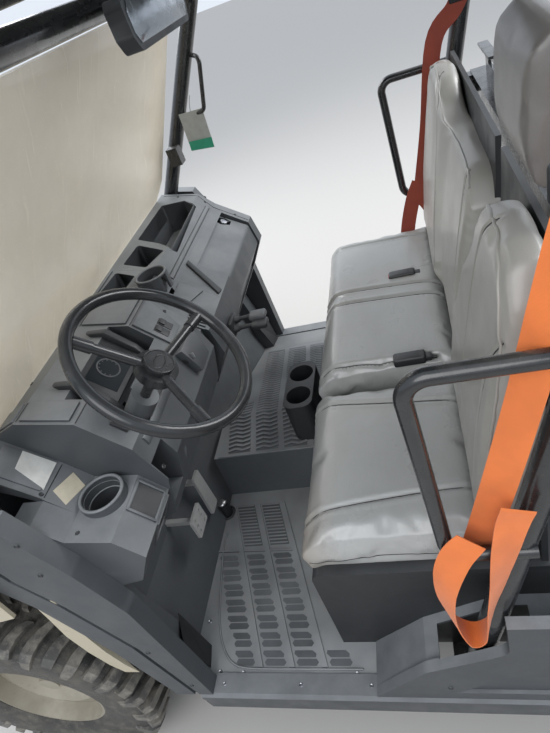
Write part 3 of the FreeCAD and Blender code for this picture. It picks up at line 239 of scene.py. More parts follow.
def scratched_clear(name, tint, haze):
    """Clear sheet that weather and wiping have hazed and scratched."""
    f = Finish(name)
    arcs = f.node("TexNoise", {"Vector": f.place, "Scale": 2.2, "Detail": 2.0}).outputs["Color"]
    bent = f.node("Mix", {0: 0.25, 4: f.place, 5: arcs}, data_type="VECTOR").outputs[1]
    drawn = {"Vector": bent, "Scale": (1.0, 0.1, 0.1), "Rotation": (0.0, 0.5, 0.4)}
    long = f.node("Mapping", drawn).outputs["Vector"]
    hairs = f.node("TexNoise", {"Vector": long, "Scale": 75.0, "Detail": 3.0, "Roughness": 0.6})
    marks = f.times(f.between(hairs.outputs["Fac"], 0.6, 0.68), f.patches((4.0, 3.0), 0.35, 0.65))
    cloud = f.patches((2.0, 6.0, 0.6), 0.3, 0.75, haze - 0.14, haze + 0.14)
    specks = f.patches((120.0, 5.0, 0.7), 0.66, 0.7, 0.0, 0.25)
    alpha = f.times(f.times(cloud, f.times(marks, 0.18), "ADD"), specks, "ADD")
    base = f.mix(f.noise(1.6, 3.0), tint, (0.97, 0.92, 0.8))
    material = f.set(Base_Color=base, Alpha=alpha, Roughness=0.3, IOR=1.45, Specular_IOR_Level=0.5)
    material.surface_render_method = "DITHERED"
    return material


def brushed_steel(name, colour, roughness=0.3, metallic=1.0, rust=0.2):
    """Bare metal with a grain along Y and spots of rust."""
    f = Finish(name)
    grain = f.noise(120.0, 3.0, stretch=(1.0, 0.1, 1.0))
    base = f.mix(grain, shade(colour, 0.75), colour)
    base = f.stain(base, f.patches((40.0, 8.0, 0.7), 0.55, 0.7), rust, (0.16, 0.1, 0.06))
    rough = f.patches((30.0, 5.0), 0.3, 0.7, roughness - 0.08, roughness + 0.2)
    return f.set(Base_Color=base, Metallic=metallic, Roughness=rough, Normal=f.bump(grain, 0.15, 0.0004))


def lens(name, colour, alpha=1.0, roughness=0.08):
    """Ribbed glossy plastic of lamps and screens."""
    f = Finish(name)
    ribs = f.node("TexWave", {"Vector": f.place, "Scale": 60.0}, bands_direction="X").outputs["Fac"]
    return f.set(Base_Color=f.stain(colour, ribs, 0.3, shade(colour, 0.6)), Roughness=roughness,
                 Alpha=alpha, Coat_Weight=0.6, Coat_Roughness=0.05, Normal=f.bump(ribs, 0.2, 0.001))


def sandy_plastic(name, colour, dust_and_top_light_colour):
    """Floor plastic that faces up lies under a pale film, part dust and part painted light from above,
    with drifts of sand.
    """
    f = Finish(name)
    # a pale film on upward faces: part dust, part painted light from above that lifts the floor and the
    # hump
    dust_and_top_light = f.times(f.patches((5.0, 7.0), 0.3, 0.7, 0.45, 1.0), f.upward())
    base = f.stain(f.mottled(colour, 4.0, 5.0, 0.75, 1.25), dust_and_top_light, 0.85, dust_and_top_light_colour)
    drifts = f.times(f.patches((330.0, 4.0, 0.8), 0.56, 0.66), f.patches((3.3, 4.0), 0.52, 0.68))
    base = f.mix(f.times(drifts, f.upward()), base, (0.4, 0.33, 0.23))
    rough = f.patches((20.0, 5.0), 0.3, 0.7, 0.45, 0.75)
    return f.set(Base_Color=base, Roughness=rough, Normal=f.bump(f.noise(500.0, 4.0), 0.3, 0.0005))


def plain_plate(name, colour):
    """A flat, slightly uneven colour."""
    f = Finish(name)
    base = f.mix(f.patches((40.0, 5.0), 0.4, 0.8), colour, shade(colour, 0.8))
    return f.set(Base_Color=base, Roughness=0.38)


finishes = {}


def make_finishes(look):
    dark = tuple(look.plastic)
    finishes.update(
        plastic=moulded_plastic("moulded_charcoal", dark),
        plastic_dark=moulded_plastic("moulded_black", shade(dark, 0.32), 0.18),
        gloss=moulded_plastic("gloss_black_plastic", shade(dark, 0.3), 0.1, 0.05, 0.2),
        # the floor's cool grey film colour is part dust and part painted light from above
        floor=sandy_plastic("floor_plastic", shade(dark, 1.25), (0.4, 0.41, 0.41)),
        # a dark sheet under the floor's tread: painted shade in its hollows
        floor_pit=moulded_plastic("floor_pits", shade(dark, 0.7), 0.42),
        enamel=black_enamel("black_enamel", tuple(look.enamel)),
        vinyl=grained_vinyl("cushion_vinyl", tuple(look.cushion)),
        back_vinyl=grained_vinyl("back_vinyl", tuple(look.seat_back), 0.4, (0.24, 0.2, 0.15), 0.2, 0.05),
        headrest_vinyl=grained_vinyl("headrest_vinyl", (0.15, 0.14, 0.13), 0.5, (0.03, 0.027, 0.025),
                                     0.7, 0.1),
        seam=plain_plate("dark_seam", (0.03, 0.03, 0.03)),
        thread=plain_plate("grey_thread", (0.16, 0.155, 0.145)),
        paint=body_paint("tan_body_paint", tuple(look.paint)),
        rubber=dusty_rubber("dusty_rubber", (0.075, 0.072, 0.067)),
        rubber_dark=dusty_rubber("tyre_carcass", (0.03, 0.029, 0.027), 0.35),
        rim=body_paint("dusty_wheel_paint", (0.3, 0.27, 0.21)),
        webbing=woven_webbing("orange_webbing", tuple(look.webbing), (0.5, 0.12, 0.03)),
        # a darker copy of the webbing: painted shade for the passenger's belt, which hangs in shadow
        webbing_shaded=woven_webbing("orange_webbing_painted_shade", (0.42, 0.075, 0.04), (0.2, 0.04, 0.03)),
        clear=scratched_clear("scratched_clear_sheet", (0.93, 0.82, 0.63), 0.7),
        steel=brushed_steel("brushed_steel", (0.55, 0.56, 0.58)),
        bright=brushed_steel("bright_metal", (0.75, 0.75, 0.74), 0.18, rust=0.0),
        # less metallic with a pale base: painted reflection, so that the pedals look like bright metal in
        # the shaded foot well
        pedal=brushed_steel("pedal_painted_shine", (0.62, 0.62, 0.6), 0.4, 0.35, 0.15),
        cast=brushed_steel("engine_casting", (0.2, 0.2, 0.2), 0.5, 0.7, 0.35),
        lamp=lens("clear_lamp_lens", (0.85, 0.87, 0.9), 0.45),
        red=lens("red_lens", (0.45, 0.01, 0.012)),
        button=lens("red_button", (0.55, 0.015, 0.02), 1.0, 0.25),
        green=moulded_plastic("green_cap", (0.02, 0.16, 0.07), 0.2, 0.15, 0.4),
        plate=plain_plate("blank_plate", (0.8, 0.8, 0.76)),
        cream_plate=plain_plate("cream_plate", (0.66, 0.6, 0.46)),
        tag=plain_plate("blank_tag", (0.5, 0.52, 0.5)),
        tag_green=plain_plate("tag_band", (0.04, 0.42, 0.26)),
        screen=lens("dark_screen", (0.02, 0.024, 0.028), 1.0, 0.12),
        grey_grip=moulded_plastic("grey_grip", (0.11, 0.115, 0.12), 0.2, 0.2, 0.45),
        mirror=brushed_steel("mirror_glass", (0.5, 0.55, 0.6), 0.14, 0.6, 0.0),
    )


NODE_FINISH = {
    "plastic": "sills dash_passenger dash_centre dash_driver glovebox_lid side_cladding rear_panels "
               "front_fascia steering_column bed tailgate roof mirror",
    "plastic_dark": "floor_cups seat_base back_shells",
    "floor": "floor",
    "enamel": "frame axle_towers cab_frame front_arms rear_arms rear_hubs knuckle_left knuckle_right "
              "steering_rack rack_housing front_bumper hip_bars hitch_receiver headrest_stay gearcases",
    "paint": "hood front_fenders",
    "gloss": "steering_wheel",
    "rubber": "tyre_front_left tyre_front_right tyre_rear_left tyre_rear_right",
    "rim": "rim_front_left rim_front_right rim_rear_left rim_rear_right",
    "steel": "halfshafts shocks",
    "pedal": "pedals",
    "cast": "engine",
    "clear": "windshield",
    "lamp": "headlamps",
    "red": "tail_lamps",
    "green": "fuel_cap",
}


# Shapes

def edges_of(verts):
    return list(dict.fromkeys(e for v in verts for e in v.link_edges))


def rounded(bm, edges, offset, segments=2):
    """Bevels edges."""
    bmesh.ops.bevel(bm, geom=edges, offset=offset, segments=segments, profile=0.5, affect="EDGES",
                    material=-1)


def keep_old(bm):
    """Marks what is there, so that added can tell a shape's own points from it."""
    layer = bm.verts.layers.int.get("old") or bm.verts.layers.int.new("old")
    for v in bm.verts:
        v[layer] = 1


def added(bm):
    layer = bm.verts.layers.int["old"]
    return [v for v in bm.verts if not v[layer]]


def slab(bm, low, high, bevel, segments=2):
    """A block between two corners, with its edges rounded."""
    low, high = Vector(low), Vector(high)
    made = bmesh.ops.create_cube(bm, size=1.0)["verts"]
    bmesh.ops.scale(bm, vec=high - low, verts=made)
    bmesh.ops.translate(bm, vec=(low + high) / 2, verts=made)
    rounded(bm, edges_of(made), bevel, segments)


def place_along(bm, made, start, axis):
    """Turns a shape made along Z to the axis and moves its base to start."""
    turn = Z.rotation_difference(Vector(axis)).to_matrix()
    bmesh.ops.rotate(bm, verts=made, cent=(0, 0, 0), matrix=turn)
    bmesh.ops.translate(bm, verts=made, vec=start)


def rod(bm, start, end, radius, sides=24, top=None, bevel=0.0):
    """A round bar, or a cone where its top has a radius of its own."""
    start, end = Vector(start), Vector(end)
    long = (end - start).length
    keep_old(bm)
    made = bmesh.ops.create_cone(bm, cap_ends=True, segments=sides, radius1=radius,
                                 radius2=radius if top is None else top, depth=long)["verts"]
    bmesh.ops.translate(bm, verts=made, vec=(0, 0, long / 2))
    if bevel:
        rounded(bm, [e for e in edges_of(made) if any(len(f.verts) > 4 for f in e.link_faces)], bevel)
    place_along(bm, added(bm), start, end - start)


def spun(bm, points, edges, around, centre, axis):
    """Turns an outline once round Z, then moves the shape onto its axis."""
    bmesh.ops.spin(bm, geom=points + edges, cent=(0, 0, 0), axis=Z, angle=2 * math.pi, steps=around,
                   use_merge=True)
    made = added(bm)
    place_along(bm, made, centre, axis)
    return made


def hoop(bm, centre, axis, radius, thick, around=48, sides=12):
    """A ring of round section."""
    keep_old(bm)
    section = bmesh.ops.create_circle(bm, segments=sides, radius=thick)["verts"]
    bmesh.ops.rotate(bm, verts=section, cent=(0, 0, 0), matrix=Matrix.Rotation(math.pi / 2, 3, "X"))
    bmesh.ops.translate(bm, verts=section, vec=(radius, 0, 0))
    return spun(bm, section, edges_of(section), around, centre, axis)


def lathe(bm, centre, axis, outline, around=48):
    """A solid of revolution from (radius, height) corners."""
    keep_old(bm)
    points = [bm.verts.new((r, 0, h)) for r, h in outline]
    edges = [bm.edges.new(pair) for pair in zip(points, points[1:] + points[:1])]
    spun(bm, points, edges, around, centre, axis)


def pull(bm, faces, way):
    """Extrudes faces and gives their new points."""
    made = bmesh.ops.extrude_face_region(bm, geom=faces)["geom"]
    moved = [g for g in made if isinstance(g, bmesh.types.BMVert)]
    bmesh.ops.translate(bm, verts=moved, vec=way)
    return moved


def panel(bm, corners, depth, bevel=0.0):
    """A flat outline, pulled out along depth."""
    made = [bm.verts.new(c) for c in corners]
    moved = pull(bm, [bm.faces.new(made)], depth)
    if bevel:
        rounded(bm, edges_of(made + moved), bevel)


def lip(bm, corners, wide, way):
    """A raised rim inside an outline, open in its middle."""
    face = bm.faces.new([bm.verts.new(c) for c in corners])
    rim = bmesh.ops.inset_region(bm, faces=[face], thickness=wide, use_even_offset=True)["faces"]
    pull(bm, rim, way)
    bmesh.ops.delete(bm, geom=[face], context="FACES_ONLY")


def band(bm, stations, thick):
    """A strip whose edge is drawn through (centre, half width) stations."""
    keep_old(bm)
    centre, half = stations[0]
    ends = [bm.verts.new(centre - half), bm.verts.new(centre + half)]
    edge = bm.edges.new(ends)
    for centre, half in stations[1:]:
        made = bmesh.ops.extrude_edge_only(bm, edges=[edge])["geom"]
        fresh = [g for g in made if isinstance(g, bmesh.types.BMVert)]
        ends = [next(v for v in fresh if bm.edges.get((v, end))) for end in ends]
        ends[0].co, ends[1].co = centre - half, centre + half
        edge = bm.edges.get(ends)
    faces = dict.fromkeys(f for v in added(bm) for f in v.link_faces)
    bmesh.ops.solidify(bm, geom=list(faces), thickness=thick)


def on_profile(profile, x, s, lift=0.0):
    """A point over a moulded outline of (y, z) corners: s counts the corners, lift stands off it."""
    k = min(int(s), len(profile) - 2)
    start, end = Vector((x, *profile[k])), Vector((x, *profile[k + 1]))
    way = (end - start).normalized()
    return start.lerp(end, s - k) + Vector((0, -way.z, way.y)) * lift


def raised(bm, profile, corners, height, bevel=0.0015):
    """A pad on one facet of a moulded outline, with (x, s) corners."""
    base = [on_profile(profile, x, s, -0.002) for x, s in corners]
    panel(bm, base, on_profile(profile, *corners[0], height) - base[0], bevel)


def oblong(low, high, start, end):
    """The (x, s) corners of a pad with straight sides."""
    return (low, start), (high, start), (high, end), (low, end)


def screw(bm, place, facing, radius):
    """A domed fastener head with a round dimple."""
    facing = Vector(facing).normalized()
    keep_old(bm)
    head = bmesh.ops.create_cone(bm, cap_ends=True, segments=16, radius1=radius, radius2=radius * 0.72,
                                 depth=radius * 0.45)["verts"]
    top = max((f for v in head for f in v.link_faces), key=lambda f: f.calc_center_median().z)
    bmesh.ops.inset_region(bm, faces=[top], thickness=radius * 0.3)
    bmesh.ops.translate(bm, verts=top.verts, vec=(0, 0, -radius * 0.25))
    place_along(bm, added(bm), Vector(place) + facing * radius * 0.1, facing)


def smooth_path(points, steps=6):
    """More points on an even curve through these."""
    points = [Vector(p) for p in points]
    out = []
    for i in range(len(points) - 1):
        a, b = points[max(i - 1, 0)], points[i]
        c, d = points[i + 1], points[min(i + 2, len(points) - 1)]
        for k in range(steps):
            t = k / steps
            out.append(0.5 * (2 * b + (c - a) * t + (2 * a - 5 * b + 4 * c - d) * t * t
                              + (3 * b - a - 3 * c + d) * t ** 3))
    return out + [points[-1]]


def straight(a, b, count=24, bow=(0, 0, 0)):
    """A line from a to b that bows aside in its middle."""
    a, b = Vector(a), Vector(b)
    return [a.lerp(b, k / count) + Vector(bow) * math.sin(math.pi * k / count) for k in range(count + 1)]


def in_scene(name, data):
    made = bpy.data.objects.new(name, data)
    bpy.context.scene.collection.objects.link(made)
    return made


def tube_object(name, paths, radius, sides=8):
    """A mesh of round tubes along smooth paths."""
    curve = bpy.data.curves.new(name, "CURVE")
    curve.dimensions = "3D"
    curve.bevel_depth = radius
    curve.bevel_resolution = max(1, sides // 4)
    curve.use_fill_caps = True
    curve.resolution_u = 3
    for path in paths:
        spline = curve.splines.new("NURBS")
        spline.points.add(len(path) - 1)
        for point, place in zip(spline.points, path):
            point.co = (*place, 1.0)
        spline.use_endpoint_u = True
        spline.order_u = min(4, len(path))
    holder = bpy.data.objects.new(name, curve)
    mesh = bpy.data.meshes.new_from_object(holder)
    bpy.data.objects.remove(holder)
    bpy.data.curves.remove(curve)
    return in_scene(name, mesh)


def piece(name, source, finish, body="chassis", smooth=35.0):
    """Makes the object of a bmesh, or takes one that exists, and puts it on its body."""
    if isinstance(source, bmesh.types.BMesh):
        bmesh.ops.recalc_face_normals(source, faces=source.faces)
        mesh = bpy.data.meshes.new(name)
        for layer in list(source.verts.layers.int):
            source.verts.layers.int.remove(layer)
        source.to_mesh(mesh)
        source.free()
        source = in_scene(name, mesh)
    mesh = source.data
    mesh.materials.clear()
    mesh.materials.append(finishes[finish])
    if smooth is not None:
        mesh.polygons.foreach_set("use_smooth", [True] * len(mesh.polygons))
        mesh.set_sharp_from_angle(angle=math.radians(smooth))
    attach(source, body)
    return source


# Soft parts

def evaluated_mesh(obj):
    """Applies the object's modifiers."""
    mesh = bpy.data.meshes.new_from_object(obj.evaluated_get(bpy.context.evaluated_depsgraph_get()))
    obj.modifiers.clear()
    old, obj.data = obj.data, mesh
    bpy.data.meshes.remove(old)


def stuffed(node, name, shape=None, voxel=0.008, shrink=0.006, swell=0.014, pressure=4.0, frames=16):
    """The node's soft solid, drawn in by shrink and filled by a cloth simulation, by swell at most."""
    bm = bmesh.new()
    bm.from_mesh(nodes[node].data)
    bmesh.ops.remove_doubles(bm, verts=bm.verts, dist=0.0001)
    mesh = bpy.data.meshes.new(name)
    bm.to_mesh(mesh)
    bm.free()
    obj = in_scene(name, mesh)
    remesh = obj.modifiers.new("even", "REMESH")
    remesh.mode, remesh.voxel_size = "VOXEL", voxel
    evaluated_mesh(obj)
    bm = bmesh.new()
    bm.from_mesh(obj.data)
    if shape:
        for v in bm.verts:
            v.co = shape(v.co.copy())
    for _ in range(6):
        bmesh.ops.smooth_vert(bm, verts=bm.verts, factor=0.5, use_axis_x=True, use_axis_y=True,
                              use_axis_z=True)
    bm.normal_update()
    for v in bm.verts:
        v.co -= v.normal * shrink
    bm.to_mesh(obj.data)
    bm.free()
    start = [v.co.copy() for v in obj.data.vertices]
    cloth = obj.modifiers.new("fill", "CLOTH")
    cloth.settings.quality = 5
    cloth.settings.use_pressure = True
    cloth.settings.uniform_pressure_force = pressure
    cloth.settings.effector_weights.gravity = 0.0
    cloth.settings.tension_stiffness = 25.0
    for number in range(1, frames + 1):
        bpy.context.scene.frame_set(number)
    evaluated_mesh(obj)
    bpy.context.scene.frame_set(1)
    for v, first in zip(obj.data.vertices, start):
        way = v.co - first
        if way.length > swell:
            v.co = first + way.normalized() * swell
    smooth = obj.modifiers.new("even", "SMOOTH")
    smooth.factor, smooth.iterations = 0.5, 4
    finer = obj.modifiers.new("finer", "SUBSURF")
    finer.levels = finer.render_levels = 1
    evaluated_mesh(obj)
    return obj


def soft_piece(node, obj, finish):
    piece(obj.name, obj, finish, smooth=180)
    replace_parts(obj, node)


def crease(obj, lines, depth, width, facing=Z, reach=0.4):
    """Presses sewn lines into the side of a soft part that faces one way."""
    count = len(obj.data.vertices)
    place, normal = np.empty(count * 3), np.empty(count * 3)
    obj.data.vertices.foreach_get("co", place)
    obj.data.vertex_normals.foreach_get("vector", normal)
    place, normal = place.reshape(-1, 3), normal.reshape(-1, 3)
    axis = max(range(3), key=lambda k: abs(facing[k]))
    across = [k for k in range(3) if k != axis]
    flat = place[:, across]
    nearest = np.ones(count)
    for line in lines:
        for a, b in zip(line, line[1:]):
            start, way = np.array(a)[across], (np.array(b) - np.array(a))[across]
            share = np.clip((flat - start) @ way / (way @ way), 0, 1)
            nearest = np.minimum(nearest, np.linalg.norm(flat - start - share[:, None] * way, axis=1))
    nearest[normal @ np.array(facing) < reach] = 1.0
    pressed = depth * np.exp(-(nearest / width) ** 2)
    puffed = 0.35 * depth * np.exp(-((nearest - 2 * width) / width) ** 2)
    place += puffed[:, None] * normal - pressed[:, None] * np.array(facing)
    obj.data.vertices.foreach_set("co", place.ravel())
    obj.data.update()


def on_surface(obj, points, facing, lift, far=0.3):
    """Drops a path onto an object, from far off on the side that faces."""
    out = []
    for p in points:
        hit, place, normal, _ = obj.ray_cast(Vector(p) + facing * far, -facing)
        if hit:
            out.append(place + normal * lift)
    return out


def sewn_line(obj, name, lines, facing, radius=0.0011, stitch=None):
    """The dark thread line in a seam, and a row of stitches at a distance beside it."""
    paths = [on_surface(obj, line, facing, 0.0002) for line in lines]
    paths = [path for path in paths if len(path) > 3]
    piece(name, tube_object(name, paths, radius, 4), "seam", smooth=60)
    if not stitch:
        return
    bm = bmesh.new()
    for line in lines:
        path = smooth_path(line[::3], 12) if len(line) < 40 else line
        path = on_surface(obj, path, facing, 0.0006)
        since = 0.0
        for a, b in zip(path, path[1:]):
            since += (b - a).length
            if since < 0.007:
                continue
            since = 0.0
            side = (b - a).normalized().cross(facing) * stitch
            made = bmesh.ops.create_cube(bm, size=1.0)["verts"]
            bmesh.ops.scale(bm, verts=made, vec=(0.0009, 0.0009, 0.0042))
            place_along(bm, made, a + side, b - a)
    piece(name + "_stitches", bm, "thread", smooth=60)


class VEHICLE_look(bpy.types.PropertyGroup):
    """Colours and sizes that a user would change."""

    plastic: FloatVectorProperty(name="Plastic", description="Moulded plastic", subtype="COLOR",
                                 default=(0.062, 0.067, 0.072))
    enamel: FloatVectorProperty(name="Enamel", description="Paint on the tubes", subtype="COLOR",
                                default=(0.012, 0.013, 0.014))
    # the cushions' default is paler than the vinyl itself: part of it is painted sheen of the bright sky
    # on their tops
    cushion: FloatVectorProperty(name="Cushions", description="Cushion vinyl", subtype="COLOR",
                                 default=(0.39, 0.395, 0.385))
    seat_back: FloatVectorProperty(name="Backs", description="Seat back vinyl", subtype="COLOR",
                                   default=(0.36, 0.35, 0.32))
    paint: FloatVectorProperty(name="Paint", description="Hood and fenders", subtype="COLOR",
                               default=(0.47, 0.42, 0.31))
    webbing: FloatVectorProperty(name="Webbing", description="Belts", subtype="COLOR",
                                 default=(0.92, 0.225, 0.045))
    belt_width: FloatProperty(name="Belt width", description="Width of the webbing", default=0.05,
                              unit="LENGTH")
    tread_height: FloatProperty(name="Tread height", description="Height of the floor's tread",
                                default=0.003, unit="LENGTH")
    lamp_power: FloatProperty(name="Lamp power", description="Power of the large lamps", default=120.0,
                              unit="POWER")


class VEHICLE_OT_camera(bpy.types.Operator):
    """The camera, where the photograph was taken"""

    bl_idname = "vehicle.camera"
    bl_label = "Camera"

    def execute(self, context):
        data = bpy.data.cameras.new("camera")
        data.lens, data.sensor_width, data.sensor_fit = 26.98, 36.0, "AUTO"
        data.clip_start, data.clip_end = 0.02, 60.0
        camera = in_scene("camera", data)
        # solved from points in the photograph: the view's axes and its place
        right = Vector((-0.1271, 0.9425, -0.3091))
        up = Vector((-0.6458, 0.1579, 0.747))
        forward = Vector((-0.7529, -0.2945, -0.5886))
        turn = Matrix((right, up, -forward)).transposed().to_4x4()
        camera.matrix_world = Matrix.Translation((1.247, 0.149, 1.747)) @ turn
        context.scene.camera = camera
        return {"FINISHED"}


class VEHICLE_OT_stage(bpy.types.Operator):
    """The pale floor, the lamps and the sky colour"""

    bl_idname = "vehicle.stage"
    bl_label = "Stage"

    def execute(self, context):
        bm = bmesh.new()
        bmesh.ops.create_grid(bm, x_segments=1, y_segments=1, size=30.0)
        mesh = bpy.data.meshes.new("studio_floor")
        bm.to_mesh(mesh)
        bm.free()
        mesh.materials.append(Finish("pale_floor").set(Base_Color=(0.56, 0.54, 0.51), Roughness=0.8))
        in_scene("studio_floor", mesh)
        world = bpy.data.worlds.new("studio")
        context.scene.world = world
        world.use_nodes = True
        sky = world.node_tree.nodes["Background"]
        sky.inputs["Color"].default_value = (0.8, 0.86, 0.95, 1.0)
        sky.inputs["Strength"].default_value = 1.0
        lamps = (
            # name, place, size, share of the power
            ("rear_lamp", (-1.5, 3.2, 3.6), 3.0, 1.5),
            ("side_lamp", (3.6, -0.6, 3.4), 3.0, 0.6),
            ("front_lamp", (-2.6, -2.8, 3.4), 2.6, 0.7),
        )
        for name, place, size, share in lamps:
            data = bpy.data.lights.new(name, "AREA")
            data.shape, data.size = "DISK", size
            data.energy = context.scene.vehicle_look.lamp_power * share
            lamp = in_scene(name, data)
            lamp.location = place
            aim = Vector((0, 0, 0.7)) - Vector(place)
            lamp.rotation_euler = aim.to_track_quat("-Z", "Y").to_euler()
        context.scene.view_settings.view_transform = "Standard"
        return {"FINISHED"}


class VEHICLE_OT_finishes(bpy.types.Operator):
    """The finishes, and the frame's own parts in them"""

    bl_idname = "vehicle.finishes"
    bl_label = "Finishes"

    def execute(self, context):
        make_finishes(context.scene.vehicle_look)
        for finish, names in NODE_FINISH.items():
            for name in names.split():
                materials = nodes[name].data.materials
                materials.clear()
                materials.append(finishes[finish])
        return {"FINISHED"}


class VEHICLE_OT_cushions(bpy.types.Operator):
    """The two seat cushions with their sewn lines"""

    bl_idname = "vehicle.cushions"
    bl_label = "Cushions"

    def execute(self, context):
        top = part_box("cushion_driver")[1].z
        rows = (
            # node, name, and its sewn lines: two (x, y) ends and how far the middle bows
            ("cushion_driver", "driver_cushion",
             (((0.235, -0.19), (0.286, 0.19), 0.006), ((0.568, -0.19), (0.53, 0.19), -0.004))),
            ("cushion_passenger", "passenger_cushion",
             (((-0.27, -0.19), (-0.236, 0.17), 0), ((-0.205, -0.19), (-0.172, 0.164), 0),
              ((0.092, -0.18), (0.105, 0.13), 0), ((-0.575, -0.18), (-0.55, 0.16), 0))),
        )
        for node, name, sewn in rows:
            low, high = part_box(node)
            mid, half = (low + high) / 2, (high - low) / 2

            def crowned(p):
                """Swells the top, and lets it fall towards the front edge."""
                u, w = (p.x - mid.x) / half.x, (p.y - mid.y) / half.y
                up = (p.z - low.z) / (high.z - low.z)
                rise = 0.01 * (1 - u ** 4) * (1 - w ** 4) - 0.012 * max(0.0, -w - 0.55) * up
                return Vector((p.x, p.y, p.z + rise * up))

            obj = stuffed(node, name, crowned)
            lines = [straight((*a, top), (*b, top), bow=(bow, 0, 0)) for a, b, bow in sewn]
            crease(obj, lines, 0.005, 0.006)
            soft_piece(node, obj, "vinyl")
            sewn_line(obj, name + "_seams", lines, Z, stitch=0.004)
            z = low.z + 0.045
            front = straight((low.x + 0.03, low.y, z), (high.x - 0.03, low.y, z), 40)
            sewn_line(obj, name + "_front_seam", [front], -Y)
            if node == "cushion_driver":
                side = straight((high.x, low.y + 0.03, z), (high.x, high.y - 0.05, z), 40)
                sewn_line(obj, name + "_side_seam", [side], X)
        return {"FINISHED"}


class VEHICLE_OT_backs(bpy.types.Operator):
    """The seat backs with their crowns, piping and sewn lines, and the headrest"""

    bl_idname = "vehicle.backs"
    bl_label = "Backs"

    def execute(self, context):
        rows = (
            # node, name, sewn lines (x, z), the top's outline (x, z), the piping (x, z), how far the
            # inner side leans in (z, x), and how deep the middle lies
            ("back_driver", "driver_back",
             (((0.415, 0.84), (0.405, 1.0), (0.405, 1.12), (0.425, 1.24), (0.455, 1.31), (0.49, 1.35)),
              ((0.575, 0.84), (0.573, 1.0), (0.578, 1.1), (0.597, 1.18), (0.625, 1.235))),
             ((0.17, 1.275), (0.215, 1.325), (0.27, 1.352), (0.36, 1.362), (0.5, 1.362), (0.59, 1.35),
              (0.645, 1.29)),
             ((0.245, 1.06), (0.275, 1.14), (0.315, 1.22), (0.365, 1.3), (0.42, 1.338), (0.5, 1.345),
              (0.57, 1.33), (0.61, 1.28), (0.628, 1.18), (0.632, 1.05), (0.632, 0.9)),
             ((0.808, 0.0), (1.0, 0.025), (1.1, 0.06), (1.2, 0.105), (1.28, 0.15), (1.36, 0.19)), 0.0),
            ("back_passenger", "passenger_back",
             (((-0.605, 0.84), (-0.6, 1.1), (-0.575, 1.22), (-0.53, 1.31), (-0.47, 1.35)),
              ((-0.235, 0.84), (-0.235, 1.0), (-0.245, 1.12), (-0.275, 1.22), (-0.33, 1.3), (-0.4, 1.35)),
              ((0.092, 0.84), (0.092, 1.05), (0.085, 1.17), (0.06, 1.25))),
             ((-0.645, 1.21), (-0.61, 1.29), (-0.53, 1.348), (-0.43, 1.362), (-0.36, 1.345), (-0.28, 1.3),
              (-0.19, 1.272), (-0.1, 1.265), (0.05, 1.265), (0.1, 1.25), (0.14, 1.2)),
             ((-0.632, 0.9), (-0.632, 1.1), (-0.622, 1.2), (-0.585, 1.28), (-0.52, 1.33), (-0.43, 1.345),
              (-0.36, 1.325), (-0.28, 1.282), (-0.19, 1.256), (-0.1, 1.25), (0.05, 1.25), (0.1, 1.228)),
             ((0.808, 0.0), (1.36, 0.0)), 0.018),
        )
        for node, name, seams, top, piping, lean, sunk in rows:
            low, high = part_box(node)

            def shaped(p):
                up = max(0.0, (p.z - low.z) / (high.z - low.z))
                inner = (high.x - p.x) / (high.x - low.x)
                x = p.x + inner * float(np.interp(p.z, *zip(*lean)))
                y = p.y + sunk * float(np.interp(p.x, (-0.24, -0.17, 0.11, 0.14), (0.0, 1.0, 1.0, 0.6)))
                return Vector((x, y, p.z - (high.z - float(np.interp(p.x, *zip(*top)))) * up ** 3))

            obj = stuffed(node, name, shaped, swell=0.004, pressure=1.5)
            *lines, rim = [smooth_path([(x, 0, z) for x, z in line], 12) for line in (*seams, piping)]
            crease(obj, lines, 0.0025, 0.0035, -Y, 0.3)
            soft_piece(node, obj, "back_vinyl")
            sewn_line(obj, name + "_seams", lines, -Y)
            cord = tube_object(name + "_piping", [on_surface(obj, rim, -Y, 0.0008)], 0.0028)
            piece(cord.name, cord, "back_vinyl", smooth=180)
            sewn_line(obj, name + "_rim", [rim], -Y, radius=0.0009, stitch=0.0065)
        obj = stuffed("headrest", "driver_headrest", voxel=0.007, swell=0.003, pressure=1.0)
        soft_piece("headrest", obj, "headrest_vinyl")
        return {"FINISHED"}


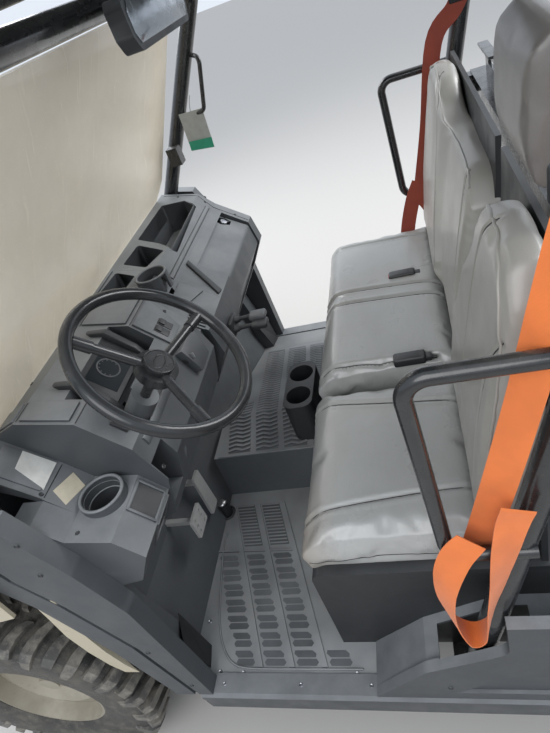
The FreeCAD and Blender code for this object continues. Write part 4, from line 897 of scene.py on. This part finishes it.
class VEHICLE_OT_belts(bpy.types.Operator):
    """The webbing straps, the loops below the hip bars, and the strap guides"""

    bl_idname = "vehicle.belts"
    bl_label = "Belts"

    def execute(self, context):
        half = context.scene.vehicle_look.belt_width / 2
        steps = 6
        outer, inner = 0.7097, -0.6642

        def strap(name, finish, points, twists):
            """Webbing along a path, turned about it by a twist in degrees at each point."""
            path = smooth_path(points, steps)
            stations = []
            for k, p in enumerate(path):
                way = (path[min(k + 1, len(path) - 1)] - path[max(k - 1, 0)]).normalized()
                turn = math.radians(np.interp(k / steps, range(len(twists)), twists))
                stations.append((p, Matrix.Rotation(turn, 3, way) @ way.cross(X).normalized() * half))
            bm = bmesh.new()
            band(bm, stations, 0.0014)
            return piece(name, bm, finish, smooth=40)

        driver = strap("driver_belt", "webbing",
                       [(outer, 0.304, 1.49), (outer, 0.278, 1.39), (outer, 0.234, 1.2),
                        (outer, 0.199, 1.06), (0.7085, 0.171, 0.955), (0.7065, 0.152, 0.89),
                        (0.7075, 0.142, 0.86)],
                       (38, 38, 38, 28, 14, 0, 0))
        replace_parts(driver, "belt_driver")
        strap("driver_belt_loop", "webbing",
              [(0.7465, 0.142, 0.955), (0.752, 0.112, 0.915), (0.762, 0.088, 0.848), (0.766, 0.086, 0.765),
               (0.767, 0.112, 0.695), (0.767, 0.143, 0.712), (0.765, 0.162, 0.8), (0.76, 0.176, 0.866),
               (0.752, 0.19, 0.935), (0.7455, 0.203, 0.99), (0.7445, 0.214, 1.025)],
              (8, 25, 50, 62, 84, 78, 55, 42, 20, 5, 0))
        # the passenger's belt and its loop take the webbing with painted shade
        passenger = strap("passenger_belt", "webbing_shaded",
                          [(inner, 0.37, 1.49), (inner, 0.33, 1.43), (inner, 0.264, 1.36),
                           (inner, 0.215, 1.13), (inner, 0.17, 0.95), (-0.663, 0.15, 0.875)],
                          (0, 0))
        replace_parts(passenger, "belt_passenger")
        strap("passenger_belt_loop", "webbing_shaded",
              [(-0.6635, 0.155, 0.905), (inner, 0.19, 0.83), (inner, 0.19, 0.73), (inner, 0.165, 0.66),
               (inner, 0.125, 0.635), (inner, 0.092, 0.67), (inner, 0.09, 0.76), (inner, 0.125, 0.88),
               (inner, 0.16, 0.95)],
              (0, 0))
        bm = bmesh.new()
        for x, side, y, z in ((outer, 1, 0.3, 1.487), (inner, -1, 0.352, 1.462)):
            slab(bm, (x - 0.006, y - 0.034, z - 0.02), (x + 0.006, y + 0.04, z + 0.022), 0.005)
            bolt = Vector((x, y + 0.006, z + 0.004))
            rod(bm, bolt + side * 0.004 * X, bolt + side * 0.012 * X, 0.011, 6, bevel=0.001)
        piece("belt_guides", bm, "plastic_dark")
        return {"FINISHED"}


class VEHICLE_OT_buckles(bpy.types.Operator):
    """The two belt buckles that lie at the back of the cushions"""

    bl_idname = "vehicle.buckles"
    bl_label = "Buckles"

    def execute(self, context):
        bm, red = bmesh.new(), bmesh.new()
        (x, y, z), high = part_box("buckles")
        for u in (x, high.x - 0.034):
            slab(bm, (u, y, z), (u + 0.034, y + 0.082, high.z), 0.006, 3)
            slab(bm, (u + 0.004, y + 0.012, high.z - 0.003), (u + 0.03, y + 0.066, high.z + 0.001), 0.002)
            slab(bm, (u + 0.006, y + 0.08, z + 0.004), (u + 0.028, y + 0.098, z + 0.018), 0.003)
            rod(bm, (u + 0.017, y + 0.09, z + 0.011), (u + 0.017, high.y, z + 0.005), 0.0045, 12)
        slab(red, (x + 0.006, y - 0.0012, z + 0.005), (x + 0.028, y + 0.004, high.z - 0.005), 0.0015)
        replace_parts(piece("belt_buckles", bm, "plastic_dark"), "buckles")
        piece("buckle_button", red, "button")
        return {"FINISHED"}


class VEHICLE_OT_tread(bpy.types.Operator):
    """The raised tread of the driver's floor, the hump and the passengers' floor"""

    bl_idname = "vehicle.tread"
    bl_label = "Floor tread"

    def execute(self, context):
        tall = context.scene.vehicle_look.tread_height
        # slanted bands run across both floors: how they slant, their distance and their length
        slope, pitch, deep = 0.342, 0.084, 0.064
        hump_slope, hump_pitch, hump_deep = 0.16, 0.094, 0.074
        # the hump falls from its knee to the passengers' floor
        knee, fall = -0.05, 0.17 / 0.572
        # how thick the dark sheets of painted shade in the tread's hollows are
        pit = Z * 0.0008
        hexagon = ((-0.5, 0.0), (-0.4, 0.5), (0.4, 0.5), (0.5, 0.0), (0.4, -0.5), (-0.4, -0.5))
        bm, shade_sheets = bmesh.new(), bmesh.new()

        def low_edge(x, column):
            """Where a column of cells begins, behind each slanted band of the floor."""
            return -0.575 + pitch * (column - 1) + slope * (x - 0.2)

        def hump_height(x):
            return HUMP_TOP if x > knee else HUMP_TOP - (knee - x) * fall

        def cell(x, y, long, wide, lean):
            """A raised six-sided frame round a dark sheet of painted shade, longer along Y and slanted
            with the bands.
            """
            ring, shade_outline = (
                [(x + u * wide * b, y + w * long * a + lean * u * wide * b, FLOOR_TOP - z)
                 for a, b in hexagon]
                for u, w, z in ((1.0, 1.0, 0.0005), (0.9, 0.97, 0.0002)))
            lip(bm, ring, 0.0042, Z * (tall + 0.0005))
            panel(shade_sheets, shade_outline, pit)

        def bar(start, end, wide, height):
            """A rib between two points of the floor, sunk a little into it."""
            start, end = Vector(start) - Z * SUNK, Vector(end) - Z * SUNK
            side = (end - start).cross(Z).normalized() * wide / 2
            panel(bm, [start - side, end - side, end + side, start + side], Z * height)

        for column in range(4):
            for row in range(14):
                x = 0.388 + 0.0232 * row
                first, last = low_edge(x, column) + 0.005, low_edge(x, column) + deep
                if column == 0:
                    first = last - 0.052 - 0.01 * (x < 0.62)
                if column == 3:
                    if x < 0.655:
                        continue
                    last = min(last, -0.15)
                odd = (-1) ** row
                cell(x + 0.0016 * odd, (first + last) / 2, last - first, 0.0185, slope + 0.25 * odd)
        # the plain ribs towards the hump and the dark sheet of painted shade under them, then the cross
        # bead that ends them
        for column in (1, 2):
            for row in range(13):
                x = 0.205 + 0.0118 * row
                y = low_edge(x, column)
                bar((x, y + 0.006, FLOOR_TOP), (x, y + 0.063, FLOOR_TOP), 0.005, 0.0032)
            x, u, z = 0.2008, 0.3528, FLOOR_TOP - 0.0002
            y, w = low_edge(x, column), low_edge(u, column)
            panel(shade_sheets, [(x, y + 0.005, z), (x, y + deep, z), (u, w + deep, z), (u, w + 0.005, z)], pit)
        bar((0.366, -0.602, FLOOR_TOP), (0.374, -0.36, FLOOR_TOP), 0.005, 0.0045)
        # passengers' side: the same bands and shallow chevrons over the hump and down its far slope
        for column in range(4):
            first = -0.572 + hump_pitch * column
            edge = [(x, first + hump_slope * x, hump_height(x))
                    for x in (0.124, 0.04, knee, -0.2, -0.35, -0.5, -0.6)]
            # a dark sheet of painted shade under each band
            for (x, y, z), (u, w, h) in zip(edge, edge[1:]):
                if w > -0.6:
                    panel(shade_sheets, [(x, y, z), (x, y + hump_deep, z), (u, w + hump_deep, h), (u, w, h)], pit)
            for row in range(38):
                x = 0.116 - 0.0185 * row
                y = first + hump_slope * x
                if y < -0.592:
                    continue
                for k in range(3):
                    u, w = (x, x - 0.008) if k % 2 == 0 else (x - 0.008, x)
                    a, b = y + hump_deep * k / 3, y + hump_deep * (k + 1) / 3
                    bar((u, a, hump_height(u)), (w, b, hump_height(w)), 0.0085, 0.0042)
        # the dark sheets of painted shade, then the raised tread
        piece("tread_painted_shade", shade_sheets, "floor_pit", smooth=None)
        piece("floor_tread", bm, "floor", smooth=None)
        floor_bead = ((0.3, -0.585), (0.33, -0.59), (0.37, -0.586), (0.5, -0.566), (0.62, -0.545),
                      (0.69, -0.5), (0.703, -0.46), (0.704, -0.4), (0.704, -0.3), (0.704, -0.2),
                      (0.704, -0.15))
        hump_bead = ((0.136, -0.585), (0.137, -0.5), (0.137, -0.4), (0.137, -0.31), (0.137, -0.21))
        beads = [[(x, y, FLOOR_TOP + 0.0006) for x, y in floor_bead],
                 [(x, y, HUMP_TOP + 0.0005) for x, y in hump_bead]]
        piece("floor_beads", tube_object("floor_beads", beads, 0.0028), "floor", smooth=60)
        bm = bmesh.new()
        for x, y in ((0.712, -0.519), (0.714, -0.455), (0.714, -0.165), (0.581, -0.579)):
            screw(bm, (x, y, FLOOR_TOP + 0.001), Z, 0.006)
        for y in (-0.5, -0.3, -0.13, 0.4):
            screw(bm, (0.741, y, 0.3845), Z, 0.005)
        piece("floor_screws", bm, "steel", smooth=40)
        foot = Vector((0.225, -0.6, 0.379))
        bm = bmesh.new()
        rod(bm, foot, foot + 0.058 * Z, 0.019, 24, 0.016)
        hoop(bm, foot + 0.004 * Z, Z, 0.024, 0.004, 24, 8)
        piece("foot_switch", bm, "plastic_dark", smooth=50)
        bm = bmesh.new()
        made = bmesh.ops.create_uvsphere(bm, u_segments=24, v_segments=12, radius=0.0165)["verts"]
        bmesh.ops.scale(bm, vec=(1, 1, 0.55), verts=made)
        bmesh.ops.translate(bm, vec=foot + 0.058 * Z, verts=made)
        piece("foot_switch_cap", bm, "bright", smooth=180)
        return {"FINISHED"}


class VEHICLE_OT_dash(bpy.types.Operator):
    """The dash's raised panels, rims, seams, screws and blank plates"""

    bl_idname = "vehicle.dash"
    bl_label = "Dash trim"

    def execute(self, context):
        bm = bmesh.new()
        # raised panels, each on one facet: its (x, s) corners and its height
        for profile, corners, height in (
            (MIDDLE_DASH, oblong(-0.1, 0.05, 0.04, 0.09), 0.004),
            (MIDDLE_DASH, ((-0.1, 1.08), (-0.01, 1.08), (0.06, 1.92), (-0.1, 1.92)), 0.004),
            (MIDDLE_DASH, ((0.02, 1.1), (0.1, 1.1), (0.1, 1.9), (0.08, 1.9)), 0.004),
            (MIDDLE_DASH, ((-0.1, 2.06), (-0.02, 2.06), (-0.02, 2.42), (-0.1, 2.6)), 0.006),
            (MIDDLE_DASH, oblong(-0.6, -0.108, 1.64, 1.82), 0.0035),
            (DRIVER_DASH, oblong(0.112, 0.225, 0.1, 0.92), 0.004),
            (DRIVER_DASH, oblong(0.112, 0.225, 1.06, 1.94), 0.005),
            (DRIVER_DASH, oblong(0.498, 0.552, 0.1, 0.9), 0.004),
            (DRIVER_DASH, oblong(0.498, 0.552, 1.08, 1.92), 0.005),
            (DRIVER_DASH, ((0.112, 2.06), (0.225, 2.06), (0.225, 2.9), (0.15, 2.9)), 0.006),
            (DRIVER_DASH, ((0.15, 3.06), (0.25, 3.06), (0.24, 3.8), (0.168, 3.8)), 0.022),
            (DRIVER_DASH, oblong(0.29, 0.52, 3.1, 3.3), 0.005),
            (LEFT_DASH, oblong(0.568, 0.64, 0.12, 0.92), 0.003),
        ):
            raised(bm, profile, corners, height)
        # vent slats
        for k in range(6):
            x = -0.004 + 0.0135 * k
            raised(bm, MIDDLE_DASH, oblong(x, x + 0.006, 2.52, 2.92), 0.0045, 0.001)
        # the open bins: a raised lip on the sloping top, walls and a floor
        bin_floor = 1.034
        for corners in (
            ((-0.3, -0.728), (-0.556, -0.724), (-0.596, -0.652), (-0.562, -0.604), (-0.236, -0.592),
             (-0.272, -0.65)),
            ((-0.262, -0.716), (-0.14, -0.722), (-0.122, -0.646), (-0.226, -0.622)),
            ((-0.092, -0.728), (0.066, -0.738), (0.088, -0.676), (-0.074, -0.664)),
        ):
            edge = [on_profile(MIDDLE_DASH, x, (y + 0.752) / 0.137) for x, y in corners]
            middle = sum(edge, Vector()) / len(edge)
            lip(bm, [p + (p - middle).normalized() * 0.008 for p in edge], 0.0055, (0, 0.0006, 0.003))
            for one, two in zip(edge, edge[1:] + edge[:1]):
                out = (two - one).cross(Z).normalized() * 0.0015
                if out.dot((one + two) / 2 - middle) < 0:
                    out = -out
                feet = [Vector((p.x, p.y, bin_floor + 0.002)) for p in (two, one)]
                panel(bm, [one, two, *feet], out)
            panel(bm, [(x, y, bin_floor) for x, y in corners], (0, 0, 0.003))
        # the cup holders' rolled edges
        hoop(bm, (-0.04, -0.596, 1.138), Z, 0.0435, 0.0042)
        cup = (0.616, -0.556)
        lathe(bm, (*cup, 0), Z, ((0.0435, 0.965), (0.0435, 1.004), (0.0495, 1.004), (0.053, 0.965)))
        hoop(bm, (*cup, 1.004), Z, 0.0465, 0.0042)
        hoop(bm, (*cup, 0.976), Z, 0.0405, 0.002)
        piece("dash_trim", bm, "plastic")

        def seam(profile, *points):
            """A line over a moulded face, through (x, s) points."""
            spread = [[a[i] + (b[i] - a[i]) * k / 8 for i in (0, 1)]
                      for a, b in zip(points, points[1:]) for k in range(8)]
            return [on_profile(profile, x, s, 0.0002) for x, s in (*spread, points[-1])]

        lines = [
            seam(MIDDLE_DASH, (-0.6, 1.62), (-0.106, 1.62)),
            seam(MIDDLE_DASH, (-0.6, 1.84), (-0.106, 1.84)),
            seam(MIDDLE_DASH, (-0.64, 0.1), (-0.64, 1.0), (-0.62, 1.98), (-0.62, 2.98)),
            seam(DRIVER_DASH, (0.112, 1.02), (0.225, 1.02)),
            seam(DRIVER_DASH, (0.498, 1.02), (0.552, 1.02)),
            seam(DRIVER_DASH, (0.11, 2.02), (0.227, 2.02)),
            seam(DRIVER_DASH, (0.493, 2.02), (0.555, 2.02)),
            seam(LEFT_DASH, (0.565, 1.02), (0.65, 1.02)),
            seam(LEFT_DASH, (0.655, 0.1), (0.655, 1.0)),
        ]
        piece("dash_seams", tube_object("dash_seams", lines, 0.001, 4), "seam", smooth=60)

        bm = bmesh.new()
        for profile, places in (
            (MIDDLE_DASH, ((-0.63, 0.5), (-0.12, 1.5), (-0.625, 1.5), (-0.625, 2.6))),
            (DRIVER_DASH, ((0.118, 0.05), (0.54, 0.05), (0.4, 0.05), (0.25, 0.05), (0.12, 2.5),
                           (0.54, 3.8))),
            (LEFT_DASH, ((0.645, 0.1), (0.645, 0.95), (0.7, 2.2))),
        ):
            for x, s in places:
                at = on_profile(profile, x, s)
                screw(bm, at, on_profile(profile, x, s, 1.0) - at, 0.0055)
        piece("dash_screws", bm, "plastic_dark", smooth=40)

        # a dark bar of painted shadow beside the glovebox lid, where the proud lid shades the recess next
        # to it
        bm = bmesh.new()
        corners = ((-0.226, 2.02), (-0.205, 2.02), (-0.112, 2.93), (-0.134, 2.97))
        panel(bm, [on_profile(MIDDLE_DASH, x, s, -SUNK) for x, s in corners], (0, 0.005, 0.007), 0.002)
        piece("glovebox_shadow_bar", bm, "plastic_dark", smooth=40)

        # the open trays beside the cup, between their raised edges
        bm, dark = bmesh.new(), bmesh.new()
        for start, end, first, second in (
            ((3.08, 3.94), (3.1, 3.92), (3.04, 3.12), (3.88, 3.96)),
            ((4.06, 4.9), (4.08, 4.9), (4.04, 4.1), (4.86, 4.92)),
        ):
            for sides in ((0.57, 0.576, *start), (0.64, 0.646, *start), (0.57, 0.646, *first),
                          (0.57, 0.646, *second)):
                raised(bm, LEFT_DASH, oblong(*sides), 0.004, 0.001)
            raised(dark, LEFT_DASH, oblong(0.574, 0.642, *end), 0.0008, 0.0)
        piece("tray_edges", bm, "plastic")
        piece("tray_shadow", dark, "plastic_dark", smooth=None)

        # the ends of the dash's shell, and the corner of the foot well
        bm = bmesh.new()
        for side in (-1, 1):
            shell = ((0.575, 0.88), (0.742, 0.88), (0.742, 1.06), (0.66, 1.128), (0.575, 1.128))
            panel(bm, [(side * x, -0.7565, z) for x, z in shell], (0, 0.003, 0))
            well = ((0.63, -0.596, 0.53), (0.705, -0.566, 0.51), (0.702, -0.549, 0.3815),
                    (0.646, -0.56, 0.3815))
            panel(bm, [(side * x, y, z) for x, y, z in well], (0, 0.002, 0.0005))
        piece("dash_end_panels", bm, "plastic_dark", smooth=None)

        # blank plates where the labels are
        for name, finish, height, corners in (
            ("white_plate", "plate", 0.004, ((0.5675, 0.4), (0.5675, 0.93), (0.634, 0.95), (0.612, 0.44))),
            ("cream_plate", "cream_plate", 0.0012,
             ((0.572, 1.4), (0.59, 1.86), (0.647, 1.62), (0.629, 1.14))),
        ):
            bm = bmesh.new()
            raised(bm, LEFT_DASH, corners, height, 0.0)
            piece(name, bm, finish, smooth=None)
        return {"FINISHED"}


class VEHICLE_OT_controls(bpy.types.Operator):
    """The instruments, switches, shift levers and the glovebox latch"""

    bl_idname = "vehicle.controls"
    bl_label = "Controls"

    def execute(self, context):
        # the housing behind the wheel, and a cheek on each side of it, as (y, z) outlines
        housing = ((-0.6105, 1.156), (-0.54, 1.088), (-0.548, 1.078), (-0.604, 1.128))
        cheek = ((-0.65, 1.176), (-0.6, 1.171), (-0.545, 1.112), (-0.524, 1.07), (-0.536, 1.062),
                 (-0.56, 1.075), (-0.606, 1.118))
        bm = bmesh.new()
        for x, outline, wide, bevel in ((0.272, housing, 0.168, 0.002), (0.256, cheek, 0.018, 0.004),
                                        (0.44, cheek, 0.018, 0.004)):
            panel(bm, [(x, y, z) for y, z in outline], X * wide, bevel)
        piece("instrument_pod", bm, "plastic_dark")
        face = housing[:2]
        bm = bmesh.new()
        raised(bm, face, oblong(0.3, 0.412, 0.1, 0.88), 0.0016, 0.0008)
        piece("instrument_screen", bm, "screen", smooth=None)
        # a dial with nine marks, and four small lamps
        bm = bmesh.new()
        place = on_profile(face, 0.356, 0.46, 0.0022)
        out, up = Vector((0, 0.697, 0.717)), Vector((0, -0.717, 0.697))
        hoop(bm, place, out, 0.026, 0.0018, 40, 8)
        for k in range(9):
            at = place + Matrix.Rotation(math.radians(-120 + 30 * k), 3, out) @ (up * 0.0215)
            rod(bm, at, at + Vector((0, 0.0007, 0.0007)), 0.0014, 8)
        for k in range(4):
            at = on_profile(face, 0.309 + 0.0125 * (k % 2), 0.25 + 0.2 * (k // 2), 0.0016)
            rod(bm, at, at + Vector((0, 0.0006, 0.0006)), 0.0028, 12)
        piece("instrument_marks", bm, "grey_grip", smooth=40)

        # rocker switches on the driver's face, the key and its ring
        bm = bmesh.new()
        for x, s in ((0.514, 2.66), (0.2, 2.62), (0.172, 2.62)):
            out = on_profile(DRIVER_DASH, x, s, 1.0) - on_profile(DRIVER_DASH, x, s)
            for wide, start, end, lift, tall, bevel in ((0.012, -0.16, 0.16, -SUNK, 0.009, 0.002),
                                                        (0.009, -0.13, 0.0, 0.008, 0.004, 0.0015)):
                corners = oblong(x - wide, x + wide, s + start, s + end)
                panel(bm, [on_profile(DRIVER_DASH, *c, lift) for c in corners], out * tall, bevel)
        out = Vector((0, 0.947, 0.322))
        at = on_profile(DRIVER_DASH, 0.235, 3.35)
        rod(bm, at, at + out * 0.01, 0.014, bevel=0.002)
        piece("dash_switches", bm, "plastic_dark", smooth=40)
        bm = bmesh.new()
        rod(bm, at + out * 0.009, at + out * 0.014, 0.009, 20, bevel=0.001)
        bow = at + out * 0.024
        slab(bm, bow + Vector((-0.0012, -0.011, -0.008)), bow + Vector((0.0012, 0.007, 0.008)), 0.0008)
        piece("ignition_key", bm, "steel", smooth=40)

        # two levers in a slotted gate
        low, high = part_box("shifter")
        y = low.y
        bm = bmesh.new()
        slab(bm, low, (high.x, y + 0.012, high.z), 0.003)
        for x, z, long in ((-0.074, 0.915, 0.062), (-0.046, 0.901, 0.068)):
            rod(bm, (x, y + 0.01, z), (x, y + long, z + 0.004), 0.0065, 16)
            rod(bm, (x, y + 0.01, z), (x, y + 0.026, z), 0.0125, 16, 0.008)
        slab(bm, (-0.066, y + 0.066, 0.896), (-0.026, high.y, 0.914), 0.006, 3)
        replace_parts(piece("shift_levers", bm, "plastic_dark", smooth=40), "shifter")
        bm = bmesh.new()
        slab(bm, (-0.092, y + 0.058, 0.908), (-0.056, high.y - 0.006, 0.928), 0.007, 3)
        piece("shift_handle", bm, "grey_grip", smooth=40)

        # the latch on the glovebox lid, and its two screws
        bm = bmesh.new()
        at = Vector((-0.571, -0.536, 1.018))
        rod(bm, at, at + Vector((0, 0.006, 0.008)), 0.013, 20, bevel=0.0015)
        slab(bm, at + Vector((-0.016, -0.003, 0.004)), at + Vector((0.016, 0.004, 0.011)), 0.002)
        for x in (-0.018, 0.018):
            screw(bm, at + Vector((x, 0.014, -0.004)), (0, 0.6, 0.8), 0.005)
        piece("glovebox_latch", bm, "steel", "glovebox", 40)
        return {"FINISHED"}


class VEHICLE_OT_wheel_hub(bpy.types.Operator):
    """The rolled edge and the bare oval recess of the steering wheel's hub"""

    bl_idname = "vehicle.wheel_hub"
    bl_label = "Wheel hub"

    def execute(self, context):
        over = WHEEL_CENTRE + WHEEL_AXIS * 0.2
        top = on_surface(nodes["steering_wheel"], [over], WHEEL_AXIS, 0.0, 0.0)
        if not top:
            raise RuntimeError("the steering wheel has no hub under its axis")
        bm = bmesh.new()
        hoop(bm, top[0], WHEEL_AXIS, 0.03, 0.0022, 40, 8)
        oval = hoop(bm, (0, 0, 0), Z, 0.0135, 0.0016, 32, 8)
        bmesh.ops.scale(bm, vec=(1.45, 0.8, 1.0), verts=oval)
        place_along(bm, oval, top[0], WHEEL_AXIS)
        piece("hub_recess", bm, "gloss", "steering", 50)
        return {"FINISHED"}


class VEHICLE_OT_cab(bpy.types.Operator):
    """Fasteners of the side panels, the hanging tag and the mirror's glass"""

    bl_idname = "vehicle.cab"
    bl_label = "Cab details"

    def execute(self, context):
        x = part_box("side_cladding")[1].x
        bm = bmesh.new()
        # where fasteners are looked for, as (y, z): one that meets no outer panel is left out
        spots = {
            "side_cladding": ((-0.513, 1.085), (-0.53, 1.012), (-0.541, 0.872), (-0.533, 0.7),
                              (-0.5, 0.5), (-0.64, 1.06), (-0.655, 0.96), (-0.59, 0.62),
                              (-0.56, 0.44)),
            "rear_panels": ((0.3, 0.66), (0.52, 0.66), (0.05, 0.44), (0.52, 0.42)),
        }
        for side in (-1, 1):
            for node, places in spots.items():
                for at in on_surface(nodes[node], [(side * x, y, z) for y, z in places], side * X, 0.0):
                    if abs(at.x) > x - 0.05:
                        screw(bm, at, side * X, 0.0065)
        piece("panel_fasteners", bm, "plastic_dark", smooth=40)

        # a tag hangs by a short thread on the grab bar of the passenger's pillar
        for name, finish, corners in (
            ("hanging_tag", "tag",
             ((-0.652, -0.568, 1.392), (-0.64, -0.478, 1.392), (-0.644, -0.486, 1.262),
              (-0.656, -0.574, 1.268))),
            ("hanging_tag_band", "tag_green",
             ((-0.6505, -0.57, 1.3), (-0.6385, -0.482, 1.297), (-0.64, -0.4855, 1.264),
              (-0.6525, -0.5735, 1.27))),
        ):
            bm = bmesh.new()
            panel(bm, corners, (0.0012, 0, 0))
            piece(name, bm, finish, smooth=None)
        thread = [(-0.646, -0.523, 1.39), (-0.644, -0.518, 1.405), (-0.64, -0.512, 1.425),
                  (-0.634, -0.5, 1.44)]
        piece("hanging_tag_tie", tube_object("hanging_tag_tie", [thread], 0.0012, 6), "tag", smooth=60)

        # mirror glass on the rear face of the housing
        bm = bmesh.new()
        y = on_surface(nodes["mirror"], [(0.1, 0, 1.705)], Y, 0.0)[0].y
        right = ((0.158, 1.674), (0.172, 1.692), (0.172, 1.726), (0.158, 1.742))
        outline = [(x, y, z) for x, z in right] + [(-x, y, z) for x, z in reversed(right)]
        panel(bm, outline, (0, 0.0015, 0), 0.0006)
        piece("mirror_glass", bm, "mirror", smooth=30)
        return {"FINISHED"}


class VEHICLE_OT_tyres(bpy.types.Operator):
    """The tyres with their carcass and curved lugs"""

    bl_idname = "vehicle.tyres"
    bl_label = "Tyres"

    def execute(self, context):
        count, lug_depth = 38, 0.022  # lugs on each side of a tyre, and how deep they are set
        for wheel in ("front_left", "front_right", "rear_left", "rear_right"):
            low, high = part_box(f"tyre_{wheel}")
            rim_low, rim_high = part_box(f"rim_{wheel}")
            half, radius = (high.x - low.x) / 2 - 0.004, (high.z - low.z) / 2
            bead = (rim_high.z - rim_low.z) / 2 - 0.006
            turned = Matrix.Translation((low + high) / 2) @ Matrix.Rotation(math.pi / 2, 4, "Y")
            wall = [(bead, 0.62), (bead + 0.004, 0.8), (bead + 0.022, 0.88), ((bead + radius) / 2, 0.94),
                    (radius - 0.045, 0.93), (radius - 0.024, 0.84), (radius - 0.018, 0.66)]
            outline = wall + [(radius - 0.017, 0.0)] + [(r, -share) for r, share in reversed(wall)]
            bm = bmesh.new()
            lathe(bm, (0, 0, 0), Z, [(r, share * half) for r, share in outline], 72)
            bmesh.ops.transform(bm, matrix=turned, verts=bm.verts)
            carcass = piece(f"tyre_carcass_{wheel}", bm, "rubber_dark", f"wheel_{wheel}", 30)
            bm = bmesh.new()
            for k in range(count):
                # every second pair of lugs starts nearer the middle and reaches farther down the shoulder
                inner, outer, foot = (0.05, 1.0, -0.062) if k % 2 else (0.2, 0.86, -0.05332)
                stations = (
                    # share of the half width, height over the crown, turn, half length
                    (inner, 0.0, 0.0, 0.008), (0.34, 0.0, 0.05, 0.0125),
                    (0.62, 0.0, 0.085, 0.014), (0.86, -0.005, 0.098, 0.015),
                    (0.985, -0.024, 0.102, 0.0145), (outer, foot, 0.104, 0.011),
                )
                for edge, start in ((-1, k), (1, k + 0.5)):
                    rows = []
                    for across, up, turn, long in stations:
                        low_down = across > 0.9
                        foot_radius = radius + up - lug_depth * (0.9 if low_down else 1.0)
                        foot_width = across * half - 0.012 * low_down
                        rows.append([])
                        for r, w, a in ((foot_radius, foot_width, -1.12 * long),
                                        (foot_radius, foot_width, 1.12 * long),
                                        (radius + up, across * half, -long),
                                        (radius + up, across * half, long)):
                            angle = 2 * math.pi * start / count + turn + a / radius
                            place = (r * math.cos(angle), r * math.sin(angle), w * edge)
                            rows[-1].append(bm.verts.new(place))
                    for one, two in zip(rows, rows[1:]):
                        for i, j in ((2, 3), (0, 2), (3, 1), (1, 0)):
                            bm.faces.new((one[i], one[j], two[j], two[i]))
                    for a, b, c, d in (rows[0], rows[-1]):
                        bm.faces.new((a, b, d, c))
            bmesh.ops.transform(bm, matrix=turned, verts=bm.verts)
            piece(f"tyre_lugs_{wheel}", bm, "rubber", f"wheel_{wheel}", 30)
            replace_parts(carcass, f"tyre_{wheel}")
        return {"FINISHED"}


class VEHICLE_OT_fenders(bpy.types.Operator):
    """The painted ledge that follows the outer edge of the side cladding"""

    bl_idname = "vehicle.fenders"
    bl_label = "Fender ledges"

    def execute(self, context):
        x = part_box("side_cladding")[1].x - 0.002
        line = ((-0.722, 0.86), (-0.728, 0.78), (-0.736, 0.7), (-0.728, 0.62), (-0.71, 0.55),
                (-0.69, 0.51))
        bm = bmesh.new()
        for side in (-1, 1):
            band(bm, [(Vector((side * x, y, z)), Y * (0.03 - 0.002 * k)) for k, (y, z) in enumerate(line)],
                 0.01)
        piece("fender_ledges", bm, "paint", smooth=30)
        return {"FINISHED"}


class VEHICLE_PT_panel(bpy.types.Panel):
    """Lists the pieces in the order in which they are made"""

    bl_idname = "VEHICLE_PT_panel"
    bl_label = "Utility Vehicle"
    bl_space_type = "VIEW_3D"
    bl_region_type = "UI"
    bl_category = "Utility Vehicle"

    def draw(self, context):
        values = context.scene.vehicle_look
        for name in VEHICLE_look.__annotations__:
            self.layout.prop(values, name)
        for operator in OPERATORS:
            self.layout.operator(operator.bl_idname)


OPERATORS = (
    VEHICLE_OT_camera,
    VEHICLE_OT_stage,
    VEHICLE_OT_finishes,
    VEHICLE_OT_cushions,
    VEHICLE_OT_backs,
    VEHICLE_OT_belts,
    VEHICLE_OT_buckles,
    VEHICLE_OT_tread,
    VEHICLE_OT_dash,
    VEHICLE_OT_controls,
    VEHICLE_OT_wheel_hub,
    VEHICLE_OT_cab,
    VEHICLE_OT_tyres,
    VEHICLE_OT_fenders,
)
CLASSES = (VEHICLE_look, *OPERATORS, VEHICLE_PT_panel)


def register():
    for made in CLASSES:
        bpy.utils.register_class(made)
    bpy.types.Scene.vehicle_look = PointerProperty(type=VEHICLE_look)


def unregister():
    del bpy.types.Scene.vehicle_look
    for made in reversed(CLASSES):
        bpy.utils.unregister_class(made)


def main():
    register()
    for operator in OPERATORS:
        group, name = operator.bl_idname.split(".")
        getattr(getattr(bpy.ops, group), name)()


if __name__ == "__main__":
    main()
